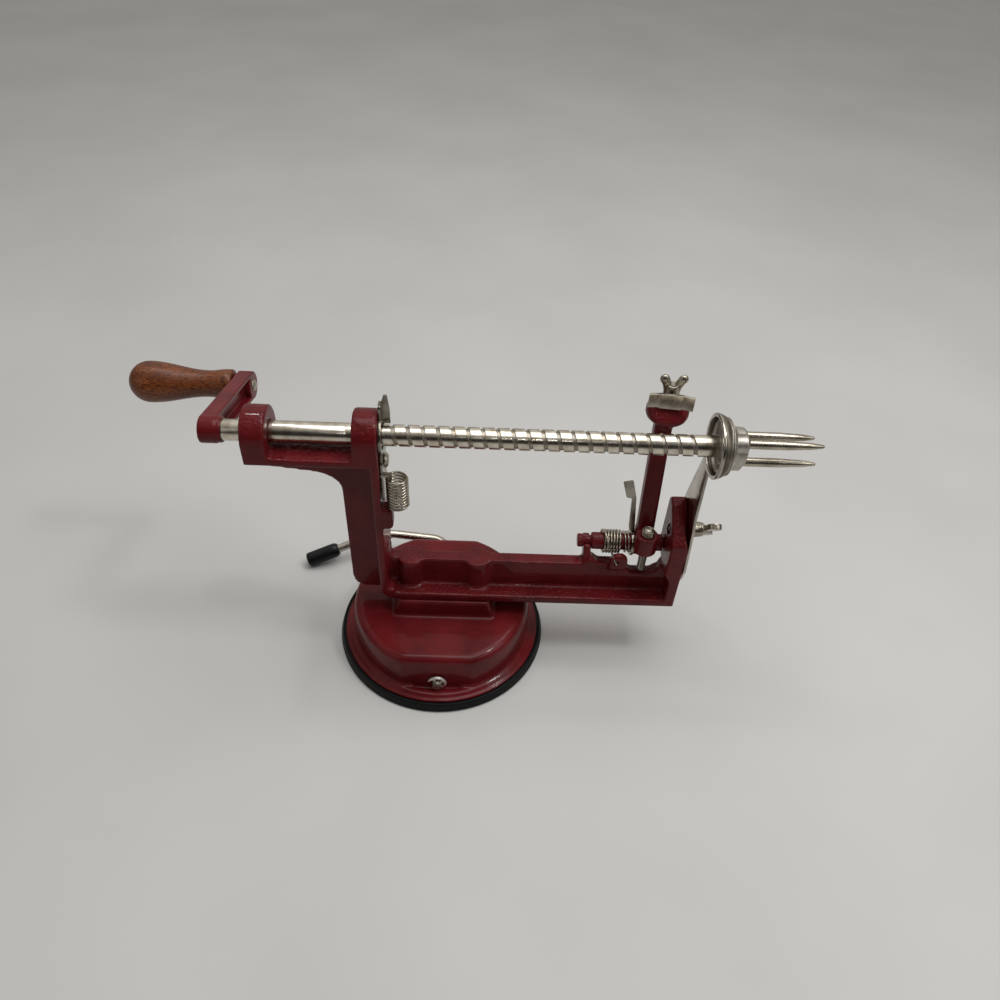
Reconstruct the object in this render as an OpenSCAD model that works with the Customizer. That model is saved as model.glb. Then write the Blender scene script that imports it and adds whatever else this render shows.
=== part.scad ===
// Hand-cranked apple peeler, corer and slicer on a suction base.
// The origin is the middle of the suction face on the table.
// X runs along the shaft towards the fork, Y to the back and Z up. Sizes are in millimetres.

/* [Drive shaft] */
// Diameter of the shaft
shaft_d = 9.5; // [8.5:0.1:10.5]
// Height of the shaft's axis above the table
shaft_z = 129; // [126:1:140]
// Lead of the feed thread
thread_pitch = 6.35; // [5.8:0.05:7]
// Depth of the thread's groove
groove_depth = 0.8; // [0.7:0.1:1.2]
// Width of the thread's groove
groove_w = 1.8; // [1.7:0.1:2.4]
// Running clearance of the shaft in its bosses
shaft_fit = 0.05; // [0.03:0.01:0.1]

/* [Frame casting] */
// Inner face of the left upright, along X
upright_x = -25.5; // [-28:0.5:-23]
// Clear length between the two uprights
span = 136; // [130:1:145]
// Depth of the casting's strip, front to back
strip_w = 22.8; // [20:0.2:26]
// Thickness of the strip on the upright and the shelf
strip_t = 3.6; // [3:0.2:5]
// Thickness of the rail's bottom flange
flange_t = 4.4; // [3.5:0.1:5.5]
// Thickness of the web
web_t = 6.2; // [5:0.2:8]
// Height of the rail
rail_h = 20.7; // [18:0.5:24]
// Width of the left upright
upright_w = 18; // [15:0.5:22]
// Length of a shaft boss
boss_w = 10.5; // [8:0.5:14]
// Clear length between the shaft bosses
boss_gap = 35.5; // [28:0.5:42]
// Radius of a shaft boss
boss_r = 11.4; // [10:0.2:12]
// Drop from the shaft's axis to the shelf
shelf_drop = 6.5; // [6:0.1:8]
// Depth of the bearing arm under the shelf, at the upright
bracket_h = 14.5; // [11:0.5:18]
// Rise of the bearing arm's underside towards its free end
bracket_rise = 4.8; // [0:0.2:6]
// Radius of the casting's outer corners
corner_r = 7; // [5:0.5:9]
// Radius of the casting's inner fillets
fillet_r = 5; // [3:0.5:7]
// Thickness of the right upright
end_t = 5; // [4:0.2:7]
// Height of the right upright above the rail's underside
end_h = 56; // [53:0.5:60]
// Height of the right upright's front edge
end_front_h = 43; // [38:0.5:46]
// Depth of the right upright's flat top
end_top_w = 8; // [5:0.5:10]

/* [Suction base] */
// Thickness of the rubber under the flange
cup_t = 4; // [3.5:0.1:5]
// Radius of the dome at its foot
dome_r = 45.5; // [41:0.5:50]
// Width of the dome's flange
flange_w = 4.1; // [3.6:0.1:6]
// Width of the rubber outside the flange
lip_w = 3.2; // [2.6:0.1:5]
// Height of the dome's top above the table
dome_z = 26; // [24:0.5:30]
// Depth of the dome's front and back flats, inwards from its round wall
flat_in = 4.5; // [3.5:0.5:6.5]
// Radius of the dome's shoulder
shoulder_r = 3.8; // [3:0.2:6]
// Thickness of the dome's sheet
sheet_t = 1.5; // [1:0.1:2]
// Height of the seat that the rail stands on
seat_h = 8.8; // [7:0.2:12]
// Depth of the seat's top
seat_w = 25; // [24:0.5:28]
// Distance between the frame screws
screw_gap = 32.7; // [30:0.1:34]
// Middle of the frame screws along X
screw_mid = 1.5; // [0:0.1:2]
// Diameter of a frame screw
screw_d = 5; // [4:0.1:5.5]
// Radius of the rail's screw bosses
screw_boss_r = 6.6; // [6:0.1:7.5]

/* [Suction lever] */
// Diameter of the lever's rod
lever_d = 4.6; // [4:0.1:5]
// Clear height of the lever's rod above the dome's bead
lever_rise = 1.2; // [1.1:0.1:2]
// Throw of the eccentric
cam_throw = 1.6; // [1.2:0.1:1.8]
// Way from the cup's rim to the lever's run behind it
lever_gap = 1.2; // [0.8:0.1:5]
// Length of the lever's run behind the cup
lever_run = 38; // [32:1:44]
// Rise of the lever's run
run_rise = 4.3; // [2:0.1:6]
// Reach of the lever to the left
lever_reach = 74.5; // [66:0.5:86]
// Way that the lever's free end comes forward
lever_fore = 12; // [6:1:16]
// Drop of the lever's free end under its axis
lever_fall = 5.6; // [3:0.1:6]
// Diameter of the lever's grip
grip_d = 8.2; // [6.6:0.1:9]
// Length of the lever's grip
grip_l = 18.5; // [15:0.5:26]

/* [Crank] */
// Radius from the shaft's axis to the handle's axis
crank_r = 57; // [50:1:65]
// Angle of the crank at rest below the horizontal
crank_dip = 16; // [0:1:30]
// Thickness of the crank arm
crank_t = 7; // [6:0.2:9]
// Width of the crank arm at the shaft
crank_w0 = 12; // [11:0.2:14]
// Width of the crank arm at the handle
crank_w1 = 13.5; // [12:0.5:16]
// Distance from the left boss to the crank's hub
crank_gap = 9.3; // [7:0.1:14]
// Length of the crank's hub in front of the arm
hub_l = 2.2; // [1:0.1:4]
// Diameter of the shaft's tenon in the crank
tenon_d = 6.5; // [5:0.1:7]
// Length of the handle
handle_l = 50; // [42:1:60]
// Largest diameter of the handle
handle_d = 20; // [17:0.5:22]
// Diameter of the handle's neck
neck_d = 12.8; // [12:0.2:15]
// Diameter of the handle's inner end
heel_d = 14.6; // [13:0.2:17]
// Diameter of the handle's pin
pin_d = 5; // [4:0.1:5.5]

/* [Feed latch] */
// Thickness of the latch plate
latch_t = 1.2; // [1:0.1:1.4]
// Drop from the shaft's axis to the latch's pivot
latch_drop = 12.5; // [12:0.5:14]
// Width of the latch plate
latch_w = 15; // [14.6:0.2:18]
// Height of the latch's thumb tab above the shaft's axis
latch_top = 19.5; // [16:0.5:22]
// Height of the thumb tab
thumb_h = 14; // [10:0.5:15]
// Width of the thumb tab at its foot
thumb_w = 4.6; // [4:0.1:6]
// Mean radius of the latch spring
latch_coil_r = 4.5; // [3.8:0.1:4.8]
// Wire of the latch spring
latch_wire = 1; // [0.8:0.1:1.1]
// Curls of the latch spring
latch_curls = 8; // [6:1:9]
// Step from curl to curl of the latch spring
latch_step = 2; // [1.8:0.1:2.3]

/* [Peeling arm] */
// Distance of the arm's axis behind the middle
arm_y = 5; // [4.5:0.1:6]
// Height of the arm's axis above the rail
arm_up = 8.5; // [8:0.1:9.5]
// Diameter of the arm's trunnions
trunnion_d = 5; // [4:0.1:5.4]
// Diameter of the arm's barrel
barrel_d = 8.4; // [7.6:0.1:8.8]
// Distance of the arm's bar from the right upright
bar_set = 12.8; // [12:0.1:15]
// Lean of the arm's bar to the right, from foot to top
bar_lean = 2.2; // [1:0.1:3]
// Width of the arm's bar
bar_w = 8.2; // [7:0.2:9]
// Depth of the arm's bar
bar_t = 7; // [6:0.2:8]
// Distance of the arm's head behind the shaft's axis
head_y = 23; // [22.5:0.5:28]
// Radius of the arm's head
head_r = 9.8; // [8.5:0.1:10.4]
// Depth of the arm's head, front to back
head_w = 15; // [13:0.2:17]
// Height of the arm's head
head_h = 12; // [10:0.5:14]
// Drop from the shaft's axis to the foot of the arm's head
head_drop = 4.8; // [3:0.2:9]
// Mean radius of the arm spring
arm_coil_r = 5.4; // [5.3:0.05:5.6]
// Wire of the arm spring
arm_wire = 1.1; // [0.8:0.1:1.2]
// Curls of the arm spring
arm_curls = 5; // [4:1:6]
// Step from curl to curl of the arm spring
arm_step = 1.6; // [1.6:0.05:1.8]
// Length of the barrel left of the arm spring
barrel_l = 5.6; // [3:0.1:8]
// Height of the catch's stem above the arm's axis
catch_h = 24.5; // [20:0.5:32]
// Height of the catch's thumb tab
catch_tab_h = 10.4; // [8:0.2:13]
// Width of the catch's thumb tab
catch_tab_w = 5.6; // [4:0.2:7]
// Lean of the catch's stem to the left
catch_lean = 2.6; // [1:0.2:4]
// Diameter of the depth screw
depth_d = 4; // [3:0.1:4.2]
// Length of the depth spring
depth_spring_l = 5; // [5:0.1:7]

/* [Knife, blade and fork] */
// Thickness of the blades' sheet
blade_t = 1.2; // [1:0.1:1.6]
// Height of the peeling knife
knife_h = 8; // [7:0.2:10]
// Width of the peeling knife
knife_w = 20.8; // [18:0.2:22]
// Distance of the slicing blade's edge in front of the shaft
edge_y = 13.4; // [12:0.2:15]
// Distance of the slicing blade's back behind the shaft
back_y = 28; // [20:0.5:32]
// Set of the slicing blade's eye to the right of its foot
blade_set = 2; // [1:0.1:2.2]
// Height of the blade bolt above the rail's underside
bolt_up = 43; // [40:0.5:45]
// Radius of the corer ring
ring_r = 14; // [13.2:0.1:15]
// Wall of the corer ring
ring_t = 1.3; // [1:0.1:1.6]
// Length of the corer ring
ring_l = 2.8; // [2.4:0.1:6]
// Diameter of the blade bolt
bolt_d = 5; // [4:0.1:6]
// Radius of the fork's hub
fork_r = 10.4; // [10:0.1:11]
// Length of the fork's hub
fork_l = 11.2; // [10.6:0.2:14]
// Diameter of a prong
prong_d = 4; // [3:0.1:4.6]
// Length of a prong outside the hub
prong_l = 32.4; // [26:0.2:38]
// Radius of the circle that the prongs stand on
prong_ring = 6.6; // [6:0.1:7]
// Span of the blade's wing nut
wing_span = 22; // [18:1:26]
// Span of the knife's wing nut
peel_span = 11; // [10:0.2:12.4]

/* [Fits] */
// Gap of a pressed or riveted pin in its hole
press_gap = 0.02; // [0.01:0.01:0.04]
// Running gap of a pivot in its bearing
pivot_fit = 0.06; // [0.03:0.01:0.1]
// Gap between pieces that move past each other
side_gap = 0.3; // [0.2:0.05:0.4]

/* [Hidden] */
$fn = 48;
paint = "#6b1826";
steel = "#b8b4aa";
// A cut runs this far past the face it opens
past = 1;

// Radii of the base, outwards from its dome
flange_r = dome_r + flange_w;
cup_r = flange_r + lip_w;
flat_y = dome_r - flat_in;
lever_back = cup_r + lever_gap;

// Heights and lengths of the casting
rail_z = dome_z + seat_h;
web_z = rail_z + rail_h;
shelf_z = shaft_z - shelf_drop;
strip_y = strip_w / 2;
web_y = web_t / 2;
strip_x = upright_x - strip_t;
web_x = upright_x - upright_w;
boss_x = upright_x - boss_w;
bracket_x = boss_x - boss_gap - boss_w;
bracket_z = shelf_z - bracket_h;
end_x = upright_x + span;
shaft_r = shaft_d / 2;

// Depth of a screw's thread in the rail
screw_depth = 14;
screw_head_r = screw_d * 0.72;
screw_head_h = 3;
// The seat's top leaves room inside for the screw heads
seat_l = screw_gap + 2 * (screw_head_r + sheet_t + 0.6);

// The lever's axis and its retaining clip clear the dome's bead
bead_z = cup_t + 2 * sheet_t;
lever_z = bead_z + lever_rise + lever_d / 2;
clip_r = lever_z - cup_t - sheet_t - side_gap;
clip_t = 1;
clip_w = 1.5;
clip_turn = 25;
clip_y = flat_y + 1.3;

// Eccentric and the eye stud round it: the window leaves room for the eccentric's path
cam_r = lever_d / 2 + cam_throw + 0.4;
window_w = cam_r + cam_throw + 0.8;
window_h = cam_r + 0.7;
stud_base = 1.2;
stud_y = 2.5;
stud_r = window_w + 2.4;

// Feed thread: the groove passes the latch one and a half turns from its start
latch_x = upright_x + side_gap;
blade_x = end_x + end_t;
ring_x = blade_x + blade_set + blade_t;
fork_x = blade_x + blade_t + 2.4;
thread_sides = 20;
groove_x = latch_x + latch_t / 2 - groove_w / 2 - 1.5 * thread_pitch;
thread_x0 = groove_x - groove_w;
thread_turns = floor((fork_x - 2 * groove_w - groove_x) / thread_pitch);
thread_x1 = groove_x + thread_turns * thread_pitch + 2 * groove_w;
crest_r = shaft_r - 0.03;
spigot_r = shaft_r - groove_depth - 0.4;

// Crank and handle
hub_x = bracket_x - crank_gap;
crank_x = hub_x - hub_l - crank_t;
crank_y = crank_r * cos(crank_dip);
crank_z = shaft_z - crank_r * sin(crank_dip);
collar_l = 2;
collar_r = 5.6;
handle_x = crank_x - collar_l - side_gap;
pin_in = handle_l * 0.8;
pin_head_h = 1.4;
rivet_r = crank_w0 / 2 - 1.4;
rivet_t = 1.2;

// Peeling arm: its axis, the stretches of its barrel and its lean towards the head
arm_z = web_z + arm_up;
bar_mid = end_x - bar_set;
body_x0 = bar_mid - bar_w / 2 - 0.6;
body_x1 = end_x - side_gap;
catch_wire = 0.9;
catch_step = 1.4;
catch_curls = 2;
catch_x = body_x0 - side_gap - blade_t;
catch_spring_x = catch_x - side_gap - catch_wire / 2 - catch_step * catch_curls;
spring_len = arm_step * arm_curls;
spring_x = catch_spring_x - catch_wire / 2 - 2 * side_gap - arm_wire / 2 - spring_len;
barrel_x = spring_x - barrel_l;
head_z = shaft_z - head_drop;
head_x = bar_mid + bar_lean + 0.7;
bar_run = [bar_lean, head_y - arm_y, head_z + 1 - arm_z];
saddle_w = 3.6;
saddle_x = barrel_x - side_gap - saddle_w;
lug_w = 9.2;
depth_x = body_x0 + lug_w / 2;
depth_y = -2;
lug_z0 = arm_z + 1.2;
lug_z1 = arm_z + 9.2;
saddle_r = 5;
tab_r = 4.4;
tab_x = catch_spring_x - 2;
tab_z = web_z + 3.6;
tab_y0 = arm_y - barrel_d / 2 - 6;
tab_y1 = arm_y - arm_coil_r - arm_wire - side_gap;
knife_stud_r = 1.8;
stud_in = 7;
stud_z = head_z + head_h;

// Blade bolt on the right upright
bolt_y = 1;
bolt_z = rail_z + bolt_up;
eye_r = ring_r + 0.4;

// Latch: its pivot, its ear for the spring and the seat under the spring
latch_y = -1.5;
latch_z = shaft_z - latch_drop;
ear_y = -8;
ear_z = latch_z - 2.4;
latch_pin_r = 2;
coil_x = latch_x + latch_t + 3 * side_gap + latch_wire / 2 + latch_coil_r;
latch_len = latch_step * latch_curls;
seat_z = ear_z - latch_t - side_gap - latch_len - latch_wire - side_gap;
tooth_in = groove_depth * 0.7;

// A cylinder along X from x0 to x1, with its axis at y and z
module rod_x(x0, x1, y, z, r) {
    translate([x0, y, z])
        rotate([0, 90, 0])
            cylinder(r = r, h = x1 - x0);
}

// A cylinder along Y from y0 to y1
module rod_y(x, y0, y1, z, r) {
    translate([x, y1, z])
        rotate([90, 0, 0])
            cylinder(r = r, h = y1 - y0);
}

// A cylinder along Z from z0 to z1
module rod_z(x, y, z0, z1, r) {
    translate([x, y, z0])
        cylinder(r = r, h = z1 - z0);
}

// Extrudes an outline drawn in X and Z from y0 to y1
module slab_y(y0, y1) {
    translate([0, y1, 0])
        rotate([90, 0, 0])
            linear_extrude(y1 - y0)
                children();
}

// Extrudes an outline drawn in Y and Z from x0 to x1
module slab_x(x0, x1) {
    translate([x0, 0, 0])
        rotate([90, 0, 90])
            linear_extrude(x1 - x0)
                children();
}

// A rectangle between two corners
module field(a, b) {
    translate(a)
        square(b - a);
}

// Fills an inner corner at p, open towards the signs in s, with a fillet
module fillet(p, s, r) {
    difference() {
        translate(p + [min(s.x, 0) * r, min(s.y, 0) * r])
            square(r);
        translate(p + s * r)
            circle(r);
    }
}

// A rectangle with four round corners
module round_field(a, b, r) {
    field([a.x + r, a.y], [b.x - r, b.y]);
    field([a.x, a.y + r], [b.x, b.y - r]);
    for (x = [a.x + r, b.x - r], y = [a.y + r, b.y - r])
        translate([x, y])
            circle(r);
}

// A wire wound round Z: 8 rings of 6 sides to a curl, with straight ends one wire long
coil_rings = 8;
coil_sides = 6;
function coil_at(r, step, i) =
    [r * cos(360 * i / coil_rings), r * sin(360 * i / coil_rings), step * i / coil_rings];
function coil_dir(r, step, i) =
    let (a = 360 * i / coil_rings, t = [-2 * PI * r * sin(a), 2 * PI * r * cos(a), step])
    t / norm(t);
function coil_ring(r, step, wire, i, shift) = let (a = 360 * i / coil_rings, n = [cos(a), sin(a), 0],
    t = coil_dir(r, step, i), b = cross(t, n), c = coil_at(r, step, i) + shift * t)
    [for (k = [0:coil_sides - 1]) c + wire / 2 * (cos(360 * k / coil_sides) * n + sin(360 * k / coil_sides) * b)];
function coil_gap(r, step, wire, curls) = min([for (i = [0:coil_rings * (curls - 1)], j = [-1:1])
    norm(coil_at(r, step, i) - coil_at(r, step, i + coil_rings + j))]) - wire;
module coil(r, step, wire, curls) {
    n = coil_rings * curls;
    rings = concat([coil_ring(r, step, wire, 0, -wire)],
        [for (i = [0:n]) coil_ring(r, step, wire, i, 0)],
        [coil_ring(r, step, wire, n, wire)]);
    points = [for (q = rings) each q];
    last = len(rings) - 1;
    m = coil_sides;
    sides = [for (i = [0:last - 1], k = [0:m - 1]) each let (k1 = (k + 1) % m)
        [[i * m + k, (i + 1) * m + k, (i + 1) * m + k1], [i * m + k, (i + 1) * m + k1, i * m + k1]]];
    caps = [for (k = [1:m - 2]) each [[0, k, k + 1], [last * m, last * m + k + 1, last * m + k]]];
    polyhedron(points, concat(sides, caps));
}

// The casting's strip: shelf, left upright and rail flange in one bent band
module strip_outline() {
    rail_corner = [strip_x + corner_r, rail_z + corner_r];
    field([bracket_x, shelf_z - strip_t], [upright_x, shelf_z]);
    field([strip_x, rail_corner.y], [upright_x, shelf_z]);
    field([rail_corner.x, rail_z], [end_x + end_t, rail_z + flange_t]);
    intersection() {
        translate(rail_corner)
            circle(corner_r);
        field([strip_x, rail_z], rail_corner);
    }
    field([strip_x + flange_t / 2, rail_z + flange_t / 2], rail_corner);
    fillet([upright_x, rail_z + flange_t], [1, 1], fillet_r);
}

// The casting's web, behind the strip's front edge
module web_outline() {
    foot = [web_x + corner_r, rail_z + corner_r];
    polygon([[bracket_x, shelf_z - 1], [strip_x + 1, shelf_z - 1], [strip_x + 1, bracket_z],
        [web_x, bracket_z], [bracket_x, bracket_z + bracket_rise]]);
    fillet([web_x, bracket_z + 0.4], [-1, -1], 2 * fillet_r);
    field([web_x, foot.y], [strip_x + 1, shelf_z - 1]);
    field([foot.x, rail_z], [strip_x + corner_r, foot.y]);
    intersection() {
        translate(foot)
            circle(corner_r);
        field([web_x, rail_z], foot);
    }
    field([strip_x + 1, rail_z + 1], [end_x + 1, web_z]);
    fillet([upright_x, web_z], [1, 1], fillet_r);
    fillet([end_x, web_z], [-1, 1], fillet_r / 2);
}

module boss_outline() {
    translate([0, shaft_z])
        circle(boss_r);
    field([-strip_y, shelf_z - strip_t], [strip_y, shelf_z]);
    field([-boss_r, shelf_z - strip_t], [boss_r, shaft_z]);
}

// The right upright, cut back at its upper front
module end_outline() {
    top = rail_z + end_h;
    polygon([[-strip_y, rail_z], [strip_y, rail_z], [strip_y, top - 2], [strip_y - 2, top],
        [strip_y - end_top_w, top], [-strip_y, rail_z + end_front_h]]);
}

// The open saddle that carries the arm's left trunnion
module saddle_outline() {
    difference() {
        union() {
            polygon([[-web_y, web_z - 1], [web_y, web_z - 1], [arm_y + saddle_r, arm_z], [arm_y - saddle_r, arm_z]]);
            translate([arm_y, arm_z])
                circle(saddle_r);
        }
        translate([arm_y, arm_z])
            circle(trunnion_d / 2 + pivot_fit);
        field([arm_y - saddle_r - past, arm_z + 0.6], [arm_y + saddle_r + past, arm_z + saddle_r + past]);
        field([arm_y - trunnion_d / 2 - pivot_fit, arm_z], [arm_y + trunnion_d / 2 + pivot_fit, arm_z + past]);
    }
}

// The lug under the latch spring's near side
module spring_lug() {
    lug_d = 6.8;
    slab_y(ear_y - lug_d / 2, ear_y + lug_d / 2)
        round_field([upright_x - 1, seat_z - 12], [upright_x + 4.9, seat_z], 2.4);
}

module main_frame() color(paint) {
    difference() {
        union() {
            slab_y(-strip_y, strip_y)
                strip_outline();
            slab_y(-web_y, web_y)
                web_outline();
            for (x = [bracket_x, boss_x])
                slab_x(x, x + boss_w)
                    boss_outline();
            slab_x(end_x, end_x + end_t)
                end_outline();
            for (s = [-1, 1])
                rod_z(screw_mid + s * screw_gap / 2, 0, rail_z, web_z, screw_boss_r);
            slab_x(saddle_x, saddle_x + saddle_w)
                saddle_outline();
            // Gusset beside the saddle
            slab_y(-web_y, web_y)
                polygon([[saddle_x + 1, web_z - 1], [saddle_x + saddle_w + 6, web_z - 1],
                    [saddle_x + saddle_w, arm_z - barrel_d / 2 - 2 * side_gap]]);
            // Tab that holds the arm spring's leg
            slab_y(tab_y0, tab_y1) {
                translate([tab_x, tab_z])
                    circle(tab_r);
                field([tab_x - tab_r, web_z - 2], [tab_x + tab_r, tab_z]);
            }
            spring_lug();
        }
        rod_x(bracket_x - past, upright_x + past, 0, shaft_z, shaft_r + shaft_fit);
        for (s = [-1, 1])
            rod_z(screw_mid + s * screw_gap / 2, 0, rail_z - past, rail_z + screw_depth + past,
                screw_d / 2 + press_gap);
        rod_x(end_x - past, end_x + end_t + past, arm_y, arm_z, trunnion_d / 2 + pivot_fit);
        rod_x(end_x - past, end_x + end_t + past, bolt_y, bolt_z, bolt_d / 2 + press_gap);
        rod_x(strip_x - past, upright_x + past, latch_y, latch_z, latch_pin_r + press_gap);
        rod_y(tab_x - 1, tab_y0 - past, tab_y1 + past, tab_z - 0.6, 1);
    }
}

// The dome's outer or inner form: a round pot and two flats with the same shoulder
module dome_form(inset, z0) {
    r = dome_r - inset;
    top = dome_z - inset;
    s = max(shoulder_r - inset, 0.5);
    draft = 1.2;
    intersection() {
        rotate_extrude()
            union() {
                polygon([[0, z0], [r, z0], [r - draft, top - s], [0, top - s]]);
                field([0, top - s], [r - draft - s, top]);
                intersection() {
                    translate([r - draft - s, top - s])
                        circle(s);
                    field([0, top - s], [r, top]);
                }
            }
        slab_x(-dome_r - past, dome_r + past)
            union() {
                polygon([[-flat_y + inset - 1, z0], [flat_y - inset + 1, z0], [flat_y - inset, top - s],
                    [-flat_y + inset, top - s]]);
                field([-flat_y + inset + s, top - s], [flat_y - inset - s, top]);
                for (m = [-1, 1])
                    translate([m * (flat_y - inset - s), top - s])
                        circle(s);
            }
    }
}

// The raised seat, sloped on all four sides
module seat_form(inset) {
    top = rail_z - inset;
    foot = dome_z - shoulder_r;
    slope = 4.5;
    l = seat_l / 2 - inset;
    w = seat_w / 2 - inset;
    intersection() {
        slab_y(-strip_w, strip_w)
            polygon([[screw_mid - l - slope, foot], [screw_mid + l + slope, foot], [screw_mid + l, top],
                [screw_mid - l, top]]);
        slab_x(screw_mid - seat_l, screw_mid + seat_l)
            polygon([[-w - slope / 2, foot], [w + slope / 2, foot], [w, top], [-w, top]]);
    }
}

module suction_base() color(paint) difference() {
    union() {
        dome_form(0, cup_t);
        seat_form(0);
        rotate_extrude()
            union() {
                field([0, cup_t], [flange_r, cup_t + sheet_t]);
                translate([flange_r, cup_t + sheet_t / 2])
                    circle(sheet_t / 2);
                field([dome_r - 1, cup_t], [dome_r + 2.2, bead_z]);
            }
    }
    dome_form(sheet_t, cup_t - past);
    seat_form(sheet_t);
    for (s = [-1, 1])
        rod_z(screw_mid + s * screw_gap / 2, 0, dome_z - past, rail_z + past, screw_d / 2 + press_gap);
    rod_y(0, -flange_r, flange_r, lever_z, lever_d / 2 + pivot_fit);
}

module suction_cup() color("#1c1c1e") difference() {
    rotate_extrude()
        polygon([[0, 0], [cup_r, 0], [cup_r, 1.6], [cup_r - 1.2, cup_t + 1], [flange_r + 1.4, cup_t + 1],
            [flange_r + 1.4, cup_t], [dome_r - 6, cup_t], [dome_r - 8, cup_t - 0.8], [stud_r + 3, cup_t - 0.8],
            [stud_r + 2, cup_t + 0.2], [0, cup_t + 0.2]]);
    rod_z(0, 0, stud_base, cup_t + past, stud_r + press_gap);
}

module cup_stud() color(steel) {
    top = lever_z + window_h - cam_throw + 2.4;
    foot = cup_t - 0.6;
    half = window_w + 2;
    rod_z(0, 0, stud_base, foot, stud_r);
    difference() {
        translate([-half, -stud_y, foot])
            cube([2 * half, 2 * stud_y, top - foot]);
        translate([-window_w, -stud_y - past, lever_z - cam_throw - window_h])
            cube([2 * window_w, 2 * (stud_y + past), 2 * window_h]);
    }
}

module frame_screws() color(steel) for (s = [-1, 1]) {
    x = screw_mid + s * screw_gap / 2;
    under = rail_z - sheet_t;
    difference() {
        union() {
            rod_z(x, 0, under, rail_z + screw_depth, screw_d / 2);
            rod_z(x, 0, under - screw_head_h, under, screw_head_r);
        }
        translate([x - screw_head_r, -0.6, under - screw_head_h - past])
            cube([2 * screw_head_r, 1.2, past + 1.4]);
    }
}

// A bent rod along points: straight stretches reach a little way into bends of a finer wire
function unit(v) = v / norm(v);
bend_lap = 0.4;
bend_play = 0.04;
module rod_between(a, b, r) {
    d = b - a;
    translate(a)
        rotate([0, acos(d.z / norm(d)), atan2(d.y, d.x)])
            cylinder(r = r, h = norm(d));
}
module bend(corner, u, v, bend_r, r) {
    turn = acos(u * v);
    n = unit(v - u * (u * v));
    w = cross(u, n);
    c = corner - u * bend_r * tan(turn / 2) + n * bend_r;
    // Columns: from the centre out to the bend's start, along the rod, and their normal
    multmatrix([[-n.x, u.x, w.x, c.x], [-n.y, u.y, w.y, c.y], [-n.z, u.z, w.z, c.z], [0, 0, 0, 1]])
        rotate_extrude(angle = turn)
            translate([bend_r, 0])
                circle(r - bend_play);
}

// The lever's corners: through the dome, round its back and down to the grip
lever_bend = 6;
lever_front = clip_y + clip_t + 2;
lever_pts = [[0, -lever_front, lever_z], [0, lever_back, lever_z], [-lever_run, lever_back, lever_z + run_rise],
    [-lever_reach, lever_back - lever_fore, lever_z - lever_fall]];
lever_u = [for (i = [0:2]) unit(lever_pts[i + 1] - lever_pts[i])];
lever_cut = [for (i = [0:1]) lever_bend * tan(acos(lever_u[i] * lever_u[i + 1]) / 2) - bend_lap];
module suction_lever() color(steel) {
    r = lever_d / 2;
    difference() {
        union() {
            rod_between(lever_pts[0], lever_pts[1] - lever_u[0] * lever_cut[0], r);
            bend(lever_pts[1], lever_u[0], lever_u[1], lever_bend, r);
            rod_between(lever_pts[1] + lever_u[1] * lever_cut[0], lever_pts[2] - lever_u[1] * lever_cut[1], r);
            bend(lever_pts[2], lever_u[1], lever_u[2], lever_bend, r);
            rod_between(lever_pts[2] + lever_u[2] * lever_cut[1], lever_pts[3], r);
            rod_y(0, -stud_y - 1.5, stud_y + 1.5, lever_z - cam_throw, cam_r);
        }
        // Groove for the retaining clip
        difference() {
            rod_y(0, -clip_y - clip_t - press_gap, -clip_y + press_gap, lever_z, r + past);
            rod_y(0, -clip_y - clip_t - past, -clip_y + past, lever_z, r - 0.7);
        }
    }
}

// An open clip: a ring with three lugs that reach into the rod's groove
module lever_clip() color(steel) {
    lug = 0.9;
    mouth = 38;
    slab_y(-clip_y - clip_t, -clip_y)
        translate([0, lever_z])
            rotate(clip_turn)
                difference() {
                    union() {
                        difference() {
                            circle(clip_r);
                            circle(clip_r - clip_w);
                        }
                        for (a = [0, 100, 260])
                            rotate(a)
                                field([0, -lug], [clip_r - clip_w / 2, lug]);
                    }
                    circle(lever_d / 2 - 0.7 + press_gap);
                    polygon([[0, 0], [-clip_r, clip_r * tan(mouth)] * 2, [-clip_r, -clip_r * tan(mouth)] * 2]);
                }
}

module lever_grip() color("#202022") {
    u = lever_u[2];
    r = grip_d / 2;
    bore = lever_d / 2 + press_gap;
    depth = grip_l - r;
    translate(lever_pts[3] - u * depth)
        rotate([0, acos(u.z), atan2(u.y, u.x)])
            rotate_extrude()
                union() {
                    field([bore, 0], [r, depth]);
                    difference() {
                        intersection() {
                            translate([0, depth])
                                circle(r);
                            field([0, depth], [r, depth + r]);
                        }
                        field([0, depth], [bore, depth + press_gap]);
                    }
                }
}

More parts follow.
